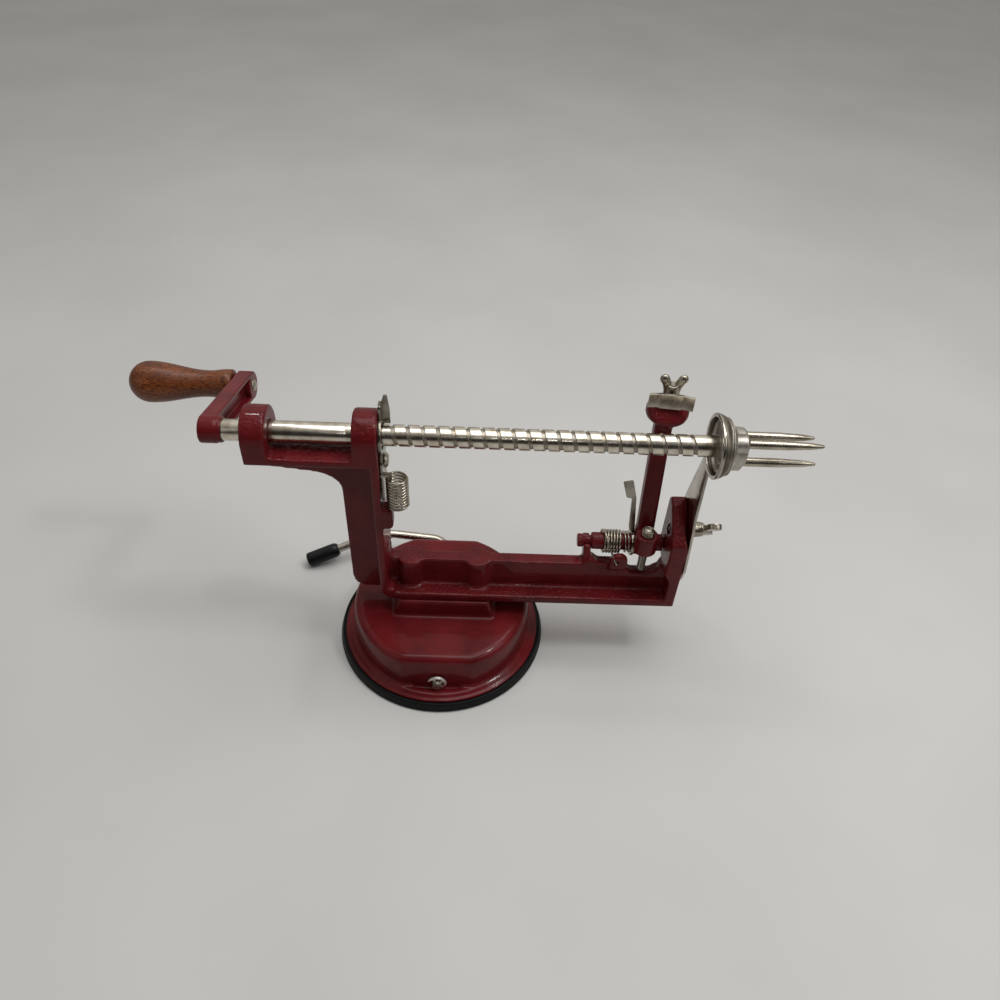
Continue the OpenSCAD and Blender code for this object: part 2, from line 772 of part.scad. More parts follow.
// The threaded stretch as one closed skin: a square groove wound round the shaft.
// Each column of points runs along X; the groove climbs one lead from the last column to the first.
function thread_start(i, g) = groove_x + thread_pitch * (g + i / thread_sides);
function thread_point(x, r, i) = [x, r * cos(360 * i / thread_sides), r * sin(360 * i / thread_sides)];
function thread_cut(i, g) = let (s = thread_start(i, g), e = s + groove_w, root = shaft_r - groove_depth)
    [thread_point(s, crest_r, i), thread_point(s, root, i), thread_point(e, root, i), thread_point(e, crest_r, i)];
module feed_thread() {
    n = thread_sides;
    turns = thread_turns;
    col = 4 * turns + 2;
    extra = n * col;
    points = concat(
        [for (i = [0:n - 1]) each concat([thread_point(thread_x0, crest_r, i)],
            [for (g = [0:turns - 1]) each thread_cut(i, g)], [thread_point(thread_x1, crest_r, i)])],
        thread_cut(n, turns - 1));
    // The column that closes the ring, numbered one groove on
    function seam(j) = j == 0 ? 0 : j == col - 1 ? col - 1 : j + 4 < col - 1 ? j + 4 : extra + j + 4 - col + 1;
    function quad(a, b, c, d) = [[a, b, c], [a, c, d]];
    around = [for (i = [0:n - 2], j = [0:col - 2]) each (i == 0 && j == col - 2) ? [] :
        quad(i * col + j, (i + 1) * col + j, (i + 1) * col + j + 1, i * col + j + 1)];
    shut = [for (j = [1:col - 2]) each quad((n - 1) * col + j, seam(j), seam(j + 1), (n - 1) * col + j + 1)];
    // The groove's two blind ends and the lands beside them
    first = (n - 1) * col;
    start_land = [[first, 0, 1], [first, 1, 4], [first, 4, 5], [first, 5, first + 1]];
    start_wall = quad(1, 2, 3, 4);
    far = 2 * col - 1;
    end_land = [[far, col - 1, extra + 3], [far, extra + 3, extra], [far, extra, col - 2], [far, col - 2, far - 1]];
    end_wall = quad(extra + 3, extra + 2, extra + 1, extra);
    caps = [for (i = [1:n - 2]) each [[0, (i + 1) * col, i * col],
        [col - 1, i * col + col - 1, (i + 1) * col + col - 1]]];
    translate([0, 0, shaft_z])
        polyhedron(points, [for (f = concat(around, shut, start_land, start_wall, end_land, end_wall, caps))
            [f[2], f[1], f[0]]]);
}

module drive_shaft() color(steel) {
    lap = 0.5;
    feed_thread();
    rod_x(hub_x, thread_x0 + lap, 0, shaft_z, shaft_r);
    rod_x(crank_x + rivet_t + pivot_fit, hub_x + lap, 0, shaft_z, tenon_d / 2);
    rod_x(thread_x1 - lap, fork_x, 0, shaft_z, shaft_r);
    rod_x(fork_x - lap, fork_x + fork_l - 3, 0, shaft_z, spigot_r);
}

// The crank lies along its own X, from the shaft to the handle, with sides just inside its round ends
module crank_outline(inset) {
    ends = [crank_w0 / 2 - inset, crank_w1 / 2 - inset];
    side = ends - [0.1, 0.1];
    circle(ends[0]);
    translate([crank_r, 0])
        circle(ends[1]);
    polygon([[0, side[0]], [crank_r, side[1]], [crank_r, -side[1]], [0, -side[0]]]);
}

module crank_arm() color(paint) {
    rim = 2;
    recess = crank_t / 2;
    difference() {
        union() {
            translate([0, 0, shaft_z])
                rotate([-crank_dip, 0, 0])
                    slab_x(crank_x, crank_x + crank_t)
                        crank_outline(0);
            rod_x(crank_x + past, hub_x, 0, shaft_z, crank_w0 / 2 - 0.4);
            rod_x(crank_x - collar_l, crank_x + past, crank_y, crank_z, collar_r);
        }
        translate([0, 0, shaft_z])
            rotate([-crank_dip, 0, 0])
                slab_x(crank_x + crank_t - recess, crank_x + crank_t + past)
                    difference() {
                        polygon([[crank_w0 / 2 + 2, crank_w0 / 2 - rim], [crank_r - 1, crank_w1 / 2 - rim],
                            [crank_r - 1, rim - crank_w1 / 2], [crank_w0 / 2 + 2, rim - crank_w0 / 2]]);
                        translate([crank_r, 0])
                            circle(crank_w1 / 2 - 0.4);
                    }
        rod_x(crank_x - past, hub_x + past, 0, shaft_z, tenon_d / 2 + press_gap);
        rod_x(crank_x - past, crank_x + rivet_t + pivot_fit, 0, shaft_z, rivet_r + pivot_fit);
        rod_x(crank_x - collar_l - past, crank_x + crank_t + past, crank_y, crank_z, pin_d / 2 + press_gap);
    }
}

// Flat rivet head on the shaft's end, let into the crank
module crank_rivet() color(steel)
    rod_x(crank_x, crank_x + rivet_t, 0, shaft_z, rivet_r);

module handle_pin() color(steel) {
    rod_x(handle_x - pin_in, crank_x + crank_t, crank_y, crank_z, pin_d / 2);
    translate([crank_x + crank_t, crank_y, crank_z])
        rotate([0, 90, 0])
            rotate_extrude()
                intersection() {
                    translate([0, -pin_d / 2])
                        circle(pin_d / 2 + pin_head_h);
                    field([0, 0], [pin_d, pin_head_h]);
                }
}

// The handle's outline: a round butt, a long waist and a flared heel, from arcs
module handle_outline() {
    butt = handle_d / 2;
    neck = neck_d / 2;
    heel = heel_d / 2;
    steps = 24;
    waist = handle_l * 0.68;
    function swell(t) = neck + (butt - neck) * (1 - cos(180 * t)) / 2;
    polygon(concat([[0, 0], [0, heel - 1], [1, heel], [waist * 0.06 + 1, heel]],
        [for (i = [1:6])
            [1 + waist * 0.06 + waist * 0.3 * i / 6, neck + (heel - neck) * (1 + cos(180 * i / 6)) / 2]],
        [for (i = [1:steps]) let (t = i / steps)
            [1 + waist * 0.36 + (handle_l - butt - 1 - waist * 0.36) * t, swell(t)]],
        [for (i = [1:12]) let (a = 90 - 90 * i / 12) [handle_l - butt + butt * cos(a), butt * sin(a)]]));
}

module handle() color("#7a3b22") difference() {
    translate([handle_x, crank_y, crank_z])
        rotate([0, -90, 0])
            rotate_extrude()
                rotate(90)
                    mirror([0, 1])
                        handle_outline();
    rod_x(handle_x - pin_in - side_gap, handle_x + past, crank_y, crank_z, pin_d / 2 + pivot_fit);
}

prong_in = fork_l - 3.4;
module at_prongs() for (i = [0:2])
    translate([0, 0, shaft_z])
        rotate([10 + 120 * i, 0, 0])
            translate([fork_x + fork_l, prong_ring, 0])
                rotate([0, 90, 0])
                    children();

// A round core with a collar, and a lobe round each prong
module fork_hub() color("#8f8d88") difference() {
    core_r = fork_r - 1.8;
    lobe_r = prong_d / 2 + 2;
    lobe_l = fork_l - 4.6;
    union() {
        translate([fork_x, 0, shaft_z])
            rotate([0, 90, 0])
                rotate_extrude()
                    polygon([[0, 0], [fork_r - 3, 0], [fork_r - 2.4, 0.6], [fork_r - 2.4, 2.4], [fork_r, 3.6],
                        [fork_r, 5.2], [core_r, 6], [core_r, fork_l - 0.9], [core_r - 0.8, fork_l - 0.1],
                        [0, fork_l - 0.1]]);
        at_prongs()
            rotate_extrude()
                polygon([[0, -lobe_l], [lobe_r, -lobe_l], [lobe_r, -1.2], [lobe_r - 1.2, 0], [0, 0]]);
    }
    rod_x(fork_x - past, fork_x + fork_l - 3 + press_gap, 0, shaft_z, spigot_r + press_gap);
    at_prongs()
        translate([0, 0, -prong_in])
            cylinder(d = prong_d + 2 * press_gap, h = prong_in + past);
}

module fork_prongs() color(steel) at_prongs()
    rotate_extrude()
        polygon([[0, -prong_in + press_gap], [prong_d / 2, -prong_in + press_gap], [prong_d / 2, prong_l * 0.55],
            [prong_d * 0.36, prong_l * 0.82], [prong_d * 0.2, prong_l - 0.4], [0, prong_l]]);

// The latch plate lies on the upright; its tooth runs in the thread's groove at the front
module latch_outline() {
    half = latch_w / 2;
    hole = shaft_r + 1.7;
    tooth_w = 0.5;
    foot_z = seat_z + 2;
    difference() {
        union() {
            translate([0, shaft_z])
                circle(half + 1.2);
            round_field([latch_y - half + 1, foot_z], [latch_y + half - 2, latch_z + 4], 2.5);
            field([-half + 0.6, latch_z], [half - 0.6, shaft_z]);
            round_field([-1.6, shaft_z], [4, shaft_z + latch_top - 4], 1.4);
        }
        difference() {
            translate([0, shaft_z])
                circle(hole);
            field([-hole - past, shaft_z - tooth_w], [-shaft_r + tooth_in, shaft_z + tooth_w]);
        }
        translate([latch_y, latch_z])
            circle(latch_pin_r + pivot_fit);
    }
}

module latch_plate() color(steel) {
    tab_z = shaft_z + latch_top;
    tip_r = 0.9;
    tip_x = latch_x + thumb_w * 0.65;
    tongue_w = 2.4;
    lip_h = 2.2;
    lip_x = coil_x - latch_coil_r + latch_wire / 2 + 2 * side_gap;
    slab_x(latch_x, latch_x + latch_t)
        latch_outline();
    // Thumb tab, bent across the plate's top and drawn to a round point
    slab_y(1, 1 + latch_t)
        union() {
            polygon([[latch_x, tab_z - thumb_h], [latch_x + thumb_w, tab_z - thumb_h],
                [latch_x + thumb_w, tab_z - thumb_h / 2], [tip_x + tip_r, tab_z - tip_r],
                [tip_x - tip_r, tab_z - tip_r], [latch_x, tab_z - thumb_h / 2]]);
            translate([tip_x, tab_z - tip_r])
                circle(tip_r);
        }
    // Tongue over the spring's near side, with a lip that keeps the coil in place
    slab_y(ear_y - tongue_w / 2, ear_y + tongue_w / 2)
        union() {
            field([latch_x, ear_z - latch_t], [lip_x + latch_t, ear_z]);
            field([lip_x, ear_z - latch_t - lip_h], [lip_x + latch_t, ear_z]);
        }
}

module latch_rivet() color(steel) {
    outer = latch_x + latch_t + side_gap;
    rod_x(strip_x, outer, latch_y, latch_z, latch_pin_r);
    translate([outer, latch_y, latch_z])
        rotate([0, 90, 0])
            rotate_extrude()
                polygon([[0, 0], [3.4, 0], [3.4, 0.6], [2.6, 1.6], [0, 1.9]]);
}

module latch_spring() color(steel)
    translate([coil_x, ear_y, seat_z + side_gap + latch_wire / 2])
        coil(latch_coil_r, latch_step, latch_wire, latch_curls);

// Screw boss in front of the barrel, barrel, bar and head of the peeling arm
module peel_arm() color(paint) {
    body_r = 6;
    difference() {
        union() {
            rod_x(saddle_x - 3, barrel_x + past, arm_y, arm_z, trunnion_d / 2);
            rod_x(saddle_x - 3, saddle_x - side_gap, arm_y, arm_z, trunnion_d / 2 + 0.8);
            rod_x(barrel_x, body_x0 + past, arm_y, arm_z, barrel_d / 2);
            rod_x(body_x0, body_x1, arm_y, arm_z, body_r);
            rod_x(body_x1 - past, end_x + end_t, arm_y, arm_z, trunnion_d / 2);
            rod_z(depth_x, depth_y, lug_z0, lug_z1, lug_w / 2);
            slab_x(body_x0 + 0.4, body_x0 + lug_w - 0.4)
                polygon([[depth_y, lug_z0 + 0.4], [arm_y, arm_z - 3], [arm_y + 4, lug_z1 - 1],
                    [depth_y, lug_z1 - 0.4]]);
            translate([bar_mid, arm_y, arm_z])
                rotate([-atan(bar_run.y / bar_run.z), 0, 0])
                    rotate([0, asin(bar_run.x / norm(bar_run)), 0])
                        linear_extrude(norm(bar_run))
                            round_field([-bar_w / 2, -bar_t / 2], [bar_w / 2, bar_t / 2], 1.6);
            intersection() {
                translate([head_x, head_y, head_z])
                    rotate_extrude()
                        polygon([[0, -2], [4.4, -2], [5.2, 0.8], [head_r - 2, 2.6], [head_r - 0.6, 4.2],
                            [head_r, 6.4], [head_r, head_h - 1.6], [head_r - 1.6, head_h], [0, head_h]]);
                translate([head_x - head_r, head_y - head_w / 2, head_z - 2])
                    cube([2 * head_r, head_w, head_h + 2]);
            }
            rod_x(head_x - 4.4, bar_mid + bar_lean + bar_w / 2, head_y, head_z, bar_t / 2);
        }
        rod_z(depth_x, depth_y, arm_z - body_r - past, lug_z1 + past, depth_d / 2 + press_gap);
        rod_z(head_x, head_y, stud_z - stud_in, stud_z + past, knife_stud_r + press_gap);
    }
}

module arm_spring() color(steel)
    translate([spring_x, arm_y, arm_z])
        rotate([0, 90, 0])
            coil(arm_coil_r, arm_step, arm_wire, arm_curls);

// Stamped catch: an eye round the barrel, a stem and a thumb tab
module arm_catch() color(steel) {
    stem_w = 4;
    tilt = 8;
    top_x = catch_x - catch_lean;
    translate([0, arm_y, arm_z])
        rotate([-tilt, 0, 0]) {
            slab_x(catch_x, catch_x + blade_t)
                difference() {
                    circle(barrel_d / 2 + 2.4);
                    circle(barrel_d / 2 + pivot_fit);
                }
            slab_y(-stem_w / 2, stem_w / 2)
                polygon([[catch_x, barrel_d / 2 + 0.4], [catch_x + blade_t, barrel_d / 2 + 0.4],
                    [catch_x + blade_t, barrel_d / 2 + 2], [top_x + blade_t, catch_h], [top_x, catch_h],
                    [catch_x, barrel_d / 2 + 2]]);
            slab_y(-blade_t / 2, blade_t / 2)
                round_field([top_x + blade_t - catch_tab_w, catch_h - 1],
                    [top_x + blade_t, catch_h - 1 + catch_tab_h], 1.2);
        }
}

module catch_spring() color(steel)
    translate([catch_spring_x, arm_y, arm_z])
        rotate([0, 90, 0])
            coil(barrel_d / 2 + catch_wire, catch_step, catch_wire, catch_curls);

module depth_screw() color(steel) {
    head_z0 = lug_z1 + depth_spring_l + 2 * side_gap;
    rod_z(depth_x, depth_y, web_z + pivot_fit, head_z0 + past, depth_d / 2);
    translate([depth_x, depth_y, head_z0])
        difference() {
            rotate_extrude()
                polygon([[0, 0], [3.3, 0], [3.3, 1.6], [2.4, 2.7], [0, 3]]);
            translate([-4, -0.45, 2])
                cube([8, 0.9, 2]);
        }
}

depth_wire = 0.8;
depth_curls = 3;
depth_step = (depth_spring_l - depth_wire) / depth_curls;
module depth_spring() color(steel)
    translate([depth_x, depth_y, lug_z1 + side_gap + depth_wire / 2])
        coil(depth_d / 2 + depth_wire, depth_step, depth_wire, depth_curls);

// The knife: a floor under the wing nut and a strip of three faces in front of it
knife_front = 0.4 - head_w / 2;
knife_sweep = 0.6;
module knife_plan() {
    half = knife_w / 2;
    end_y = knife_front - knife_sweep;
    polygon([[-half, end_y], [-half / 2, knife_front], [half / 2, knife_front], [half, end_y],
        [half, 0], [-half, 0]]);
}
module peel_blade() color(steel) translate([head_x, head_y, stud_z]) {
    difference() {
        linear_extrude(blade_t)
            field([-knife_w / 4, knife_front], [knife_w / 4, head_w / 2 - 2]);
        cylinder(r = knife_stud_r + press_gap, h = 3 * blade_t, center = true);
    }
    linear_extrude(knife_h)
        difference() {
            knife_plan();
            translate([0, blade_t])
                knife_plan();
        }
}

// The wings of the knife's nut turn above the knife
peel_nut_h = knife_h - blade_t + 2 * side_gap + 0.4;
module blade_stud() color(steel)
    rod_z(head_x, head_y, stud_z - stud_in + press_gap, stud_z + blade_t + peel_nut_h - side_gap, knife_stud_r);

// A wing nut that stands on z = 0 with its bore along Z
module wing_nut(bore, span, h) {
    hub = bore / 2 + 1.2;
    wing_r = span / 6.4;
    difference() {
        union() {
            cylinder(r1 = hub + 0.6, r2 = hub - 0.4, h = h);
            for (s = [-1, 1])
                slab_y(-1.3, 1.3)
                    union() {
                        polygon([[s * (hub - 1.4), h - 2.6], [s * (hub - 0.5), h - 0.4],
                            [s * (span / 2 - wing_r * 0.2), h + 2.6], [s * (span / 2 - 2 * wing_r), h + 4.2],
                            [s * (hub - 1.4), h + 0.6]]);
                        translate([s * (span / 2 - wing_r), h + 3.4])
                            circle(wing_r);
                    }
        }
        translate([0, 0, -past])
            cylinder(d = bore + 2 * pivot_fit, h = 2 * h + span);
    }
}

module peel_wing_nut() color(steel)
    translate([head_x, head_y, stud_z + blade_t])
        wing_nut(2 * knife_stud_r, peel_span, peel_nut_h);

// The slicing blade: a broad foot on the upright, a tapered neck set to the right and an eye round the fork
neck_z = bolt_z + 14;
set_z = neck_z + 10;
module sheet_outline() {
    top = shaft_z + 2 * ring_r;
    polygon([[blade_x, rail_z], [blade_x + blade_t, rail_z], [blade_x + blade_t, neck_z], [ring_x, set_z],
        [ring_x, top], [ring_x - blade_t, top], [ring_x - blade_t, set_z], [blade_x, neck_z]]);
}
module slicing_outline() {
    foot_z = rail_z + 6;
    shoulder_z = bolt_z - 9.8;
    eye_z = shaft_z - ring_r + 2;
    neck_w = 9;
    difference() {
        union() {
            polygon([[-edge_y, bolt_z - 16], [-6, foot_z + 6], [8, foot_z], [back_y, foot_z],
                [back_y, shoulder_z], [neck_w + 5.5, bolt_z + 6], [neck_w, eye_z], [0, eye_z], [3 - edge_y, bolt_z + 7]]);
            translate([0, shaft_z])
                circle(eye_r);
        }
        translate([0, shaft_z])
            circle(ring_r - ring_t);
        translate([bolt_y, bolt_z])
            circle(bolt_d / 2 + press_gap);
        translate([arm_y, arm_z])
            circle(trunnion_d / 2 + side_gap);
    }
}
module slicing_blade() color(steel) intersection() {
    slab_x(blade_x, ring_x)
        slicing_outline();
    slab_y(-edge_y - ring_r, back_y + past)
        sheet_outline();
}

module corer_ring() color(steel)
    translate([ring_x, 0, shaft_z])
        rotate([0, 90, 0])
            rotate_extrude()
                polygon([[ring_r - ring_t, 0], [ring_r, 0], [ring_r, ring_l - 2], [ring_r - ring_t + 0.3, ring_l],
                    [ring_r - ring_t, ring_l]]);

bolt_nut_h = 7;
bolt_out = bolt_nut_h + 1.5;
module blade_bolt() color(steel) {
    rod_x(end_x, blade_x + blade_t + bolt_out, bolt_y, bolt_z, bolt_d / 2);
    translate([end_x, bolt_y, bolt_z])
        rotate([0, -90, 0])
            rotate_extrude()
                intersection() {
                    translate([0, -bolt_d / 2])
                        circle(bolt_d / 2 + 2.4);
                    field([0, 0], [bolt_d, 2.4]);
                }
}

module blade_wing_nut() color(steel)
    translate([blade_x + blade_t, bolt_y, bolt_z])
        rotate([0, 90, 0])
            rotate(37)
                wing_nut(bolt_d, wing_span, bolt_nut_h);

echo(str("latch spring least gap ", coil_gap(latch_coil_r, latch_step, latch_wire, latch_curls)));
echo(str("arm spring least gap ", coil_gap(arm_coil_r, arm_step, arm_wire, arm_curls)));
echo(str("catch spring least gap ", coil_gap(barrel_d / 2 + catch_wire, catch_step, catch_wire, catch_curls)));
echo(str("depth spring least gap ", coil_gap(depth_d / 2 + depth_wire, depth_step, depth_wire, depth_curls)));

main_frame();
suction_base();
suction_cup();
cup_stud();
frame_screws();
suction_lever();
lever_grip();
lever_clip();
drive_shaft();
crank_arm();
crank_rivet();
handle_pin();
handle();
fork_hub();
fork_prongs();
latch_plate();
latch_rivet();
latch_spring();
peel_arm();
arm_spring();
arm_catch();
catch_spring();
depth_screw();
depth_spring();
peel_blade();
blade_stud();
peel_wing_nut();
slicing_blade();
corer_ring();
blade_bolt();
blade_wing_nut();
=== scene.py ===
import math

import bmesh
import bpy
from mathutils import Matrix, Vector


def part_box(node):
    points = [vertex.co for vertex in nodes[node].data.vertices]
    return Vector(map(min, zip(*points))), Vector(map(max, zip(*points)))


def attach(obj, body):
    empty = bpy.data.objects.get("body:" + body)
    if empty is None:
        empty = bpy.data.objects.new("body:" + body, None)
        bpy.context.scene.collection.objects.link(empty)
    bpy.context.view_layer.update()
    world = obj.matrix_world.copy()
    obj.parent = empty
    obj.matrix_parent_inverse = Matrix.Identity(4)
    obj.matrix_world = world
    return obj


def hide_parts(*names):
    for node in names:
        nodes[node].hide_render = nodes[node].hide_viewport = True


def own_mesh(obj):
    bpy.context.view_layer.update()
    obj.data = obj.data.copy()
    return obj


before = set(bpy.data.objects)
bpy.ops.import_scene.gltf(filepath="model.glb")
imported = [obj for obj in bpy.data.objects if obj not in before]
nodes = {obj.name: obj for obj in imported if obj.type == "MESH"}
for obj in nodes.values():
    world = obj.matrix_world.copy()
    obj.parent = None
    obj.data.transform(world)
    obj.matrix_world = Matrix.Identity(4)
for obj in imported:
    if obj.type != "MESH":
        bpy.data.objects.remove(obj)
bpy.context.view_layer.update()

MM = 0.001


# SUCTION CUP
# A disc of black rubber under the dome. It is moulded in one piece, with a lip that stands up
# round the dome's flange and a fine parting line round its wall.

def linear(code):
    """An sRGB hex colour as linear red, green and blue, with full alpha."""
    parts = [int(code[i:i + 2], 16) / 255 for i in (1, 3, 5)]
    return [p / 12.92 if p <= 0.04045 else ((p + 0.055) / 1.055) ** 2.4 for p in parts] + [1.0]


def plug(tree, node, sockets):
    """Gives a node's inputs plain values, or links outputs to them."""
    for name, value in sockets.items():
        if isinstance(value, bpy.types.NodeSocket):
            tree.links.new(value, node.inputs[name])
        else:
            node.inputs[name].default_value = value


def add(tree, kind, sockets=None, stops=(), **settings):
    """Adds a node: settings are its properties, stops the places and hex colours of a colour ramp."""
    node = tree.nodes.new(kind)
    for name, value in settings.items():
        setattr(node, name, value)
    plug(tree, node, sockets or {})
    for k, (position, code) in enumerate(stops):
        node.color_ramp.elements[k].position = position
        node.color_ramp.elements[k].color = linear(code)
    return node


def new_finish(name):
    """A material with its node tree, its shader and the piece's own coordinates."""
    finish = bpy.data.materials.new(name)
    finish.use_nodes = True
    tree = finish.node_tree
    place = add(tree, "ShaderNodeTexCoord").outputs["Object"]
    return finish, tree, tree.nodes["Principled BSDF"], place


def grain(size_mm):
    """Scale of a noise texture whose spots are about this many millimetres wide."""
    return 1 / (size_mm * MM)


# Moulded rubber: near black, dull, with a faint bloom and a skin of fine grit.
moulded_rubber, tree, shader, place = new_finish("moulded_rubber")
bloom = add(tree, "ShaderNodeTexNoise", {"Vector": place, "Scale": grain(7), "Detail": 4.0})
grit = add(tree, "ShaderNodeTexNoise", {"Vector": place, "Scale": grain(0.5), "Detail": 2.0})
black = add(tree, "ShaderNodeValToRGB", {"Fac": bloom.outputs["Fac"]}, ((0.35, "#060607"), (0.65, "#0d0d0e")))
dull = add(tree, "ShaderNodeMapRange", {"Value": bloom.outputs["Fac"], "To Min": 0.42, "To Max": 0.62})
bump = add(tree, "ShaderNodeBump", {"Height": grit.outputs["Fac"], "Strength": 0.25, "Distance": 0.05 * MM})
plug(tree, shader, {"Base Color": black.outputs["Color"], "Roughness": dull.outputs["Result"],
                    "Normal": bump.outputs["Normal"], "Specular IOR Level": 0.2})


def rounded(points, radius, steps=4):
    """An open outline in which each inner corner is a curve that starts a radius from the corner."""
    most = 0.45
    outline = [Vector(points[0])]
    for before, corner, after in zip(points, points[1:], points[2:]):
        here = Vector(corner)
        back = Vector(before) - here
        ahead = Vector(after) - here
        start = here + back.normalized() * min(radius, most * back.length)
        end = here + ahead.normalized() * min(radius, most * ahead.length)
        for step in range(steps + 1):
            t = step / steps
            outline.append(start * (1 - t) ** 2 + here * 2 * t * (1 - t) + end * t * t)
    outline.append(Vector(points[-1]))
    return outline


def lathe(outline, steps=96):
    """A solid turned round Z from an outline of radius and height, in metres."""
    pole_r = 1e-7
    form = bmesh.new()
    rings = []
    for radius, height in outline:
        count = 1 if radius < pole_r else steps
        rings.append([form.verts.new((radius * math.cos(2 * math.pi * k / steps),
                                      radius * math.sin(2 * math.pi * k / steps), height))
                      for k in range(count)])
    for low, high in zip(rings, rings[1:]):
        for k in range(steps):
            corners = [low[k % len(low)], low[(k + 1) % steps % len(low)],
                       high[(k + 1) % steps % len(high)], high[k % len(high)]]
            corners = list(dict.fromkeys(corners))
            if len(corners) > 2:
                form.faces.new(corners)
    bmesh.ops.recalc_face_normals(form, faces=form.faces)
    return form


def as_mesh(name, form):
    """The mesh of a form; the form is used up."""
    mesh = bpy.data.meshes.new(name)
    form.to_mesh(mesh)
    form.free()
    return mesh


def piece(name, form, finish, sharp_deg=35):
    """An object from a form or a mesh, smooth up to a sharp angle, with one finish."""
    mesh = as_mesh(name, form) if isinstance(form, bmesh.types.BMesh) else form
    mesh.shade_smooth()
    mesh.set_sharp_from_angle(angle=math.radians(sharp_deg))
    mesh.materials.clear()
    mesh.materials.append(finish)
    made = bpy.data.objects.new(name, mesh)
    bpy.context.scene.collection.objects.link(made)
    return made


cup_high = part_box("suction_cup")[1]
cup_r = cup_high.x
foot_edge = 0.6 * MM
parting_z = 1.8 * MM
parting_half = 0.3 * MM
parting_depth = 0.35 * MM
step_above = 0.2 * MM
wall_lean = 0.9 * MM
lip_z = cup_high.z
lip_r = cup_r - 1.8 * MM
lip_flat = 0.5 * MM
flange_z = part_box("suction_base")[0].z
rest_r = 39.5 * MM
web_r = rest_r - 2 * MM
web_z = flange_z - 0.8 * MM
stud_low, stud_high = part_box("cup_stud")
stud_r = stud_high.y + 0.02 * MM
boss_w = 3 * MM
cup_wall = [(0, 0), (cup_r - foot_edge, 0), (cup_r, foot_edge), (cup_r, parting_z - parting_half),
            (cup_r - parting_depth, parting_z), (cup_r - step_above, parting_z + parting_half),
            (cup_r - wall_lean, lip_z - foot_edge), (lip_r + lip_flat, lip_z)]
cup_inside = [(lip_r, lip_z), (lip_r, flange_z), (rest_r, flange_z), (web_r, web_z), (stud_r + boss_w, web_z),
              (stud_r, flange_z), (stud_r, stud_low.z), (0, stud_low.z)]
cup = piece("rubber_cup", lathe(rounded(cup_wall + cup_inside, 0.3 * MM, 3), 144), moulded_rubber)
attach(cup, "frame")
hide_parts("suction_cup")


# DOME OF THE SUCTION BASE
# A pot of pressed steel sheet with two flats, a raised seat for the rail and a rolled flange.
# It is enamelled burgundy over its whole outside, and two screws through the seat hold the rail.

def burgundy_enamel(name, peel_mm, peel_height_mm, grit_height_mm):
    """Stoved enamel: deep red under a clear gloss, with the slow ripple of sprayed paint, strongest
    on faces that lie up, and on castings the sand's grain showing through it."""
    finish, tree, shader, place = new_finish(name)
    cloud = add(tree, "ShaderNodeTexNoise", {"Vector": place, "Scale": grain(18), "Detail": 4.0})
    sand = add(tree, "ShaderNodeTexNoise", {"Vector": place, "Scale": grain(1.1), "Detail": 3.0})
    peel = add(tree, "ShaderNodeTexNoise", {"Vector": place, "Scale": grain(peel_mm), "Detail": 2.0})
    red = add(tree, "ShaderNodeValToRGB", {"Fac": cloud.outputs["Fac"]},
              ((0.35, "#4e0f12"), (0.65, "#64181c")))
    gloss = add(tree, "ShaderNodeMapRange", {"Value": sand.outputs["Fac"], "To Min": 0.22, "To Max": 0.4})
    normal = add(tree, "ShaderNodeNewGeometry").outputs["Normal"]
    facing = add(tree, "ShaderNodeSeparateXYZ", {"Vector": normal})
    sag = add(tree, "ShaderNodeMapRange", {"Value": facing.outputs["Z"], "From Min": 0.3, "From Max": 0.9,
                                           "To Min": 0.25})
    wave = add(tree, "ShaderNodeMath", {0: peel.outputs["Fac"], 1: sag.outputs["Result"]},
               operation="MULTIPLY")
    ripple = add(tree, "ShaderNodeBump", {"Height": wave.outputs["Value"], "Strength": 1.0,
                                          "Distance": peel_height_mm * MM})
    skin = add(tree, "ShaderNodeBump", {"Height": sand.outputs["Fac"], "Strength": 1.0,
                                        "Distance": grit_height_mm * MM, "Normal": ripple.outputs["Normal"]})
    plug(tree, shader, {"Base Color": red.outputs["Color"], "Roughness": gloss.outputs["Result"],
                        "Normal": skin.outputs["Normal"], "Specular IOR Level": 0.08, "Coat Weight": 0.22,
                        "Coat Roughness": 0.04})
    return finish


def copy_of(node):
    """A solid's mesh with its doubles merged, ready to be worked on."""
    weld = 0.0005 * MM
    form = bmesh.new()
    form.from_mesh(nodes[node].data)
    bmesh.ops.remove_doubles(form, verts=form.verts, dist=weld)
    return form


def worked(name, form, modifiers):
    """The mesh that a list of modifiers makes of a form."""
    mesh = as_mesh(name, form)
    blank = bpy.data.objects.new(name, mesh)
    bpy.context.scene.collection.objects.link(blank)
    for kind, settings in modifiers:
        modifier = blank.modifiers.new(kind.lower(), kind)
        for key, value in settings.items():
            setattr(modifier, key, value)
    done = bpy.data.meshes.new_from_object(blank.evaluated_get(bpy.context.evaluated_depsgraph_get()))
    bpy.data.objects.remove(blank)
    bpy.data.meshes.remove(mesh)
    return done


def softened(name, form, cell_mm, passes):
    """A form rebuilt on an even grid and relaxed, so that its edges turn round as cast ones do."""
    return worked(name, form, [
        ("REMESH", {"mode": "VOXEL", "voxel_size": cell_mm * MM}),
        ("SMOOTH", {"factor": 0.5, "iterations": passes})])


pressed_enamel = burgundy_enamel("burgundy_enamel_on_sheet", peel_mm=2.6, peel_height_mm=0.14,
                                 grit_height_mm=0.02)
dome_mesh = softened("dome_soft", copy_of("suction_base"), cell_mm=0.6, passes=14)
dome = piece("pressed_dome", dome_mesh, pressed_enamel, sharp_deg=180)
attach(dome, "frame")
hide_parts("suction_base")


# FRAME CASTING
# One iron casting: rail, two uprights, the shelf with its two shaft bosses and the lugs of the arm.
# It comes out of sand with round edges and a rough skin, and takes two coats of enamel.

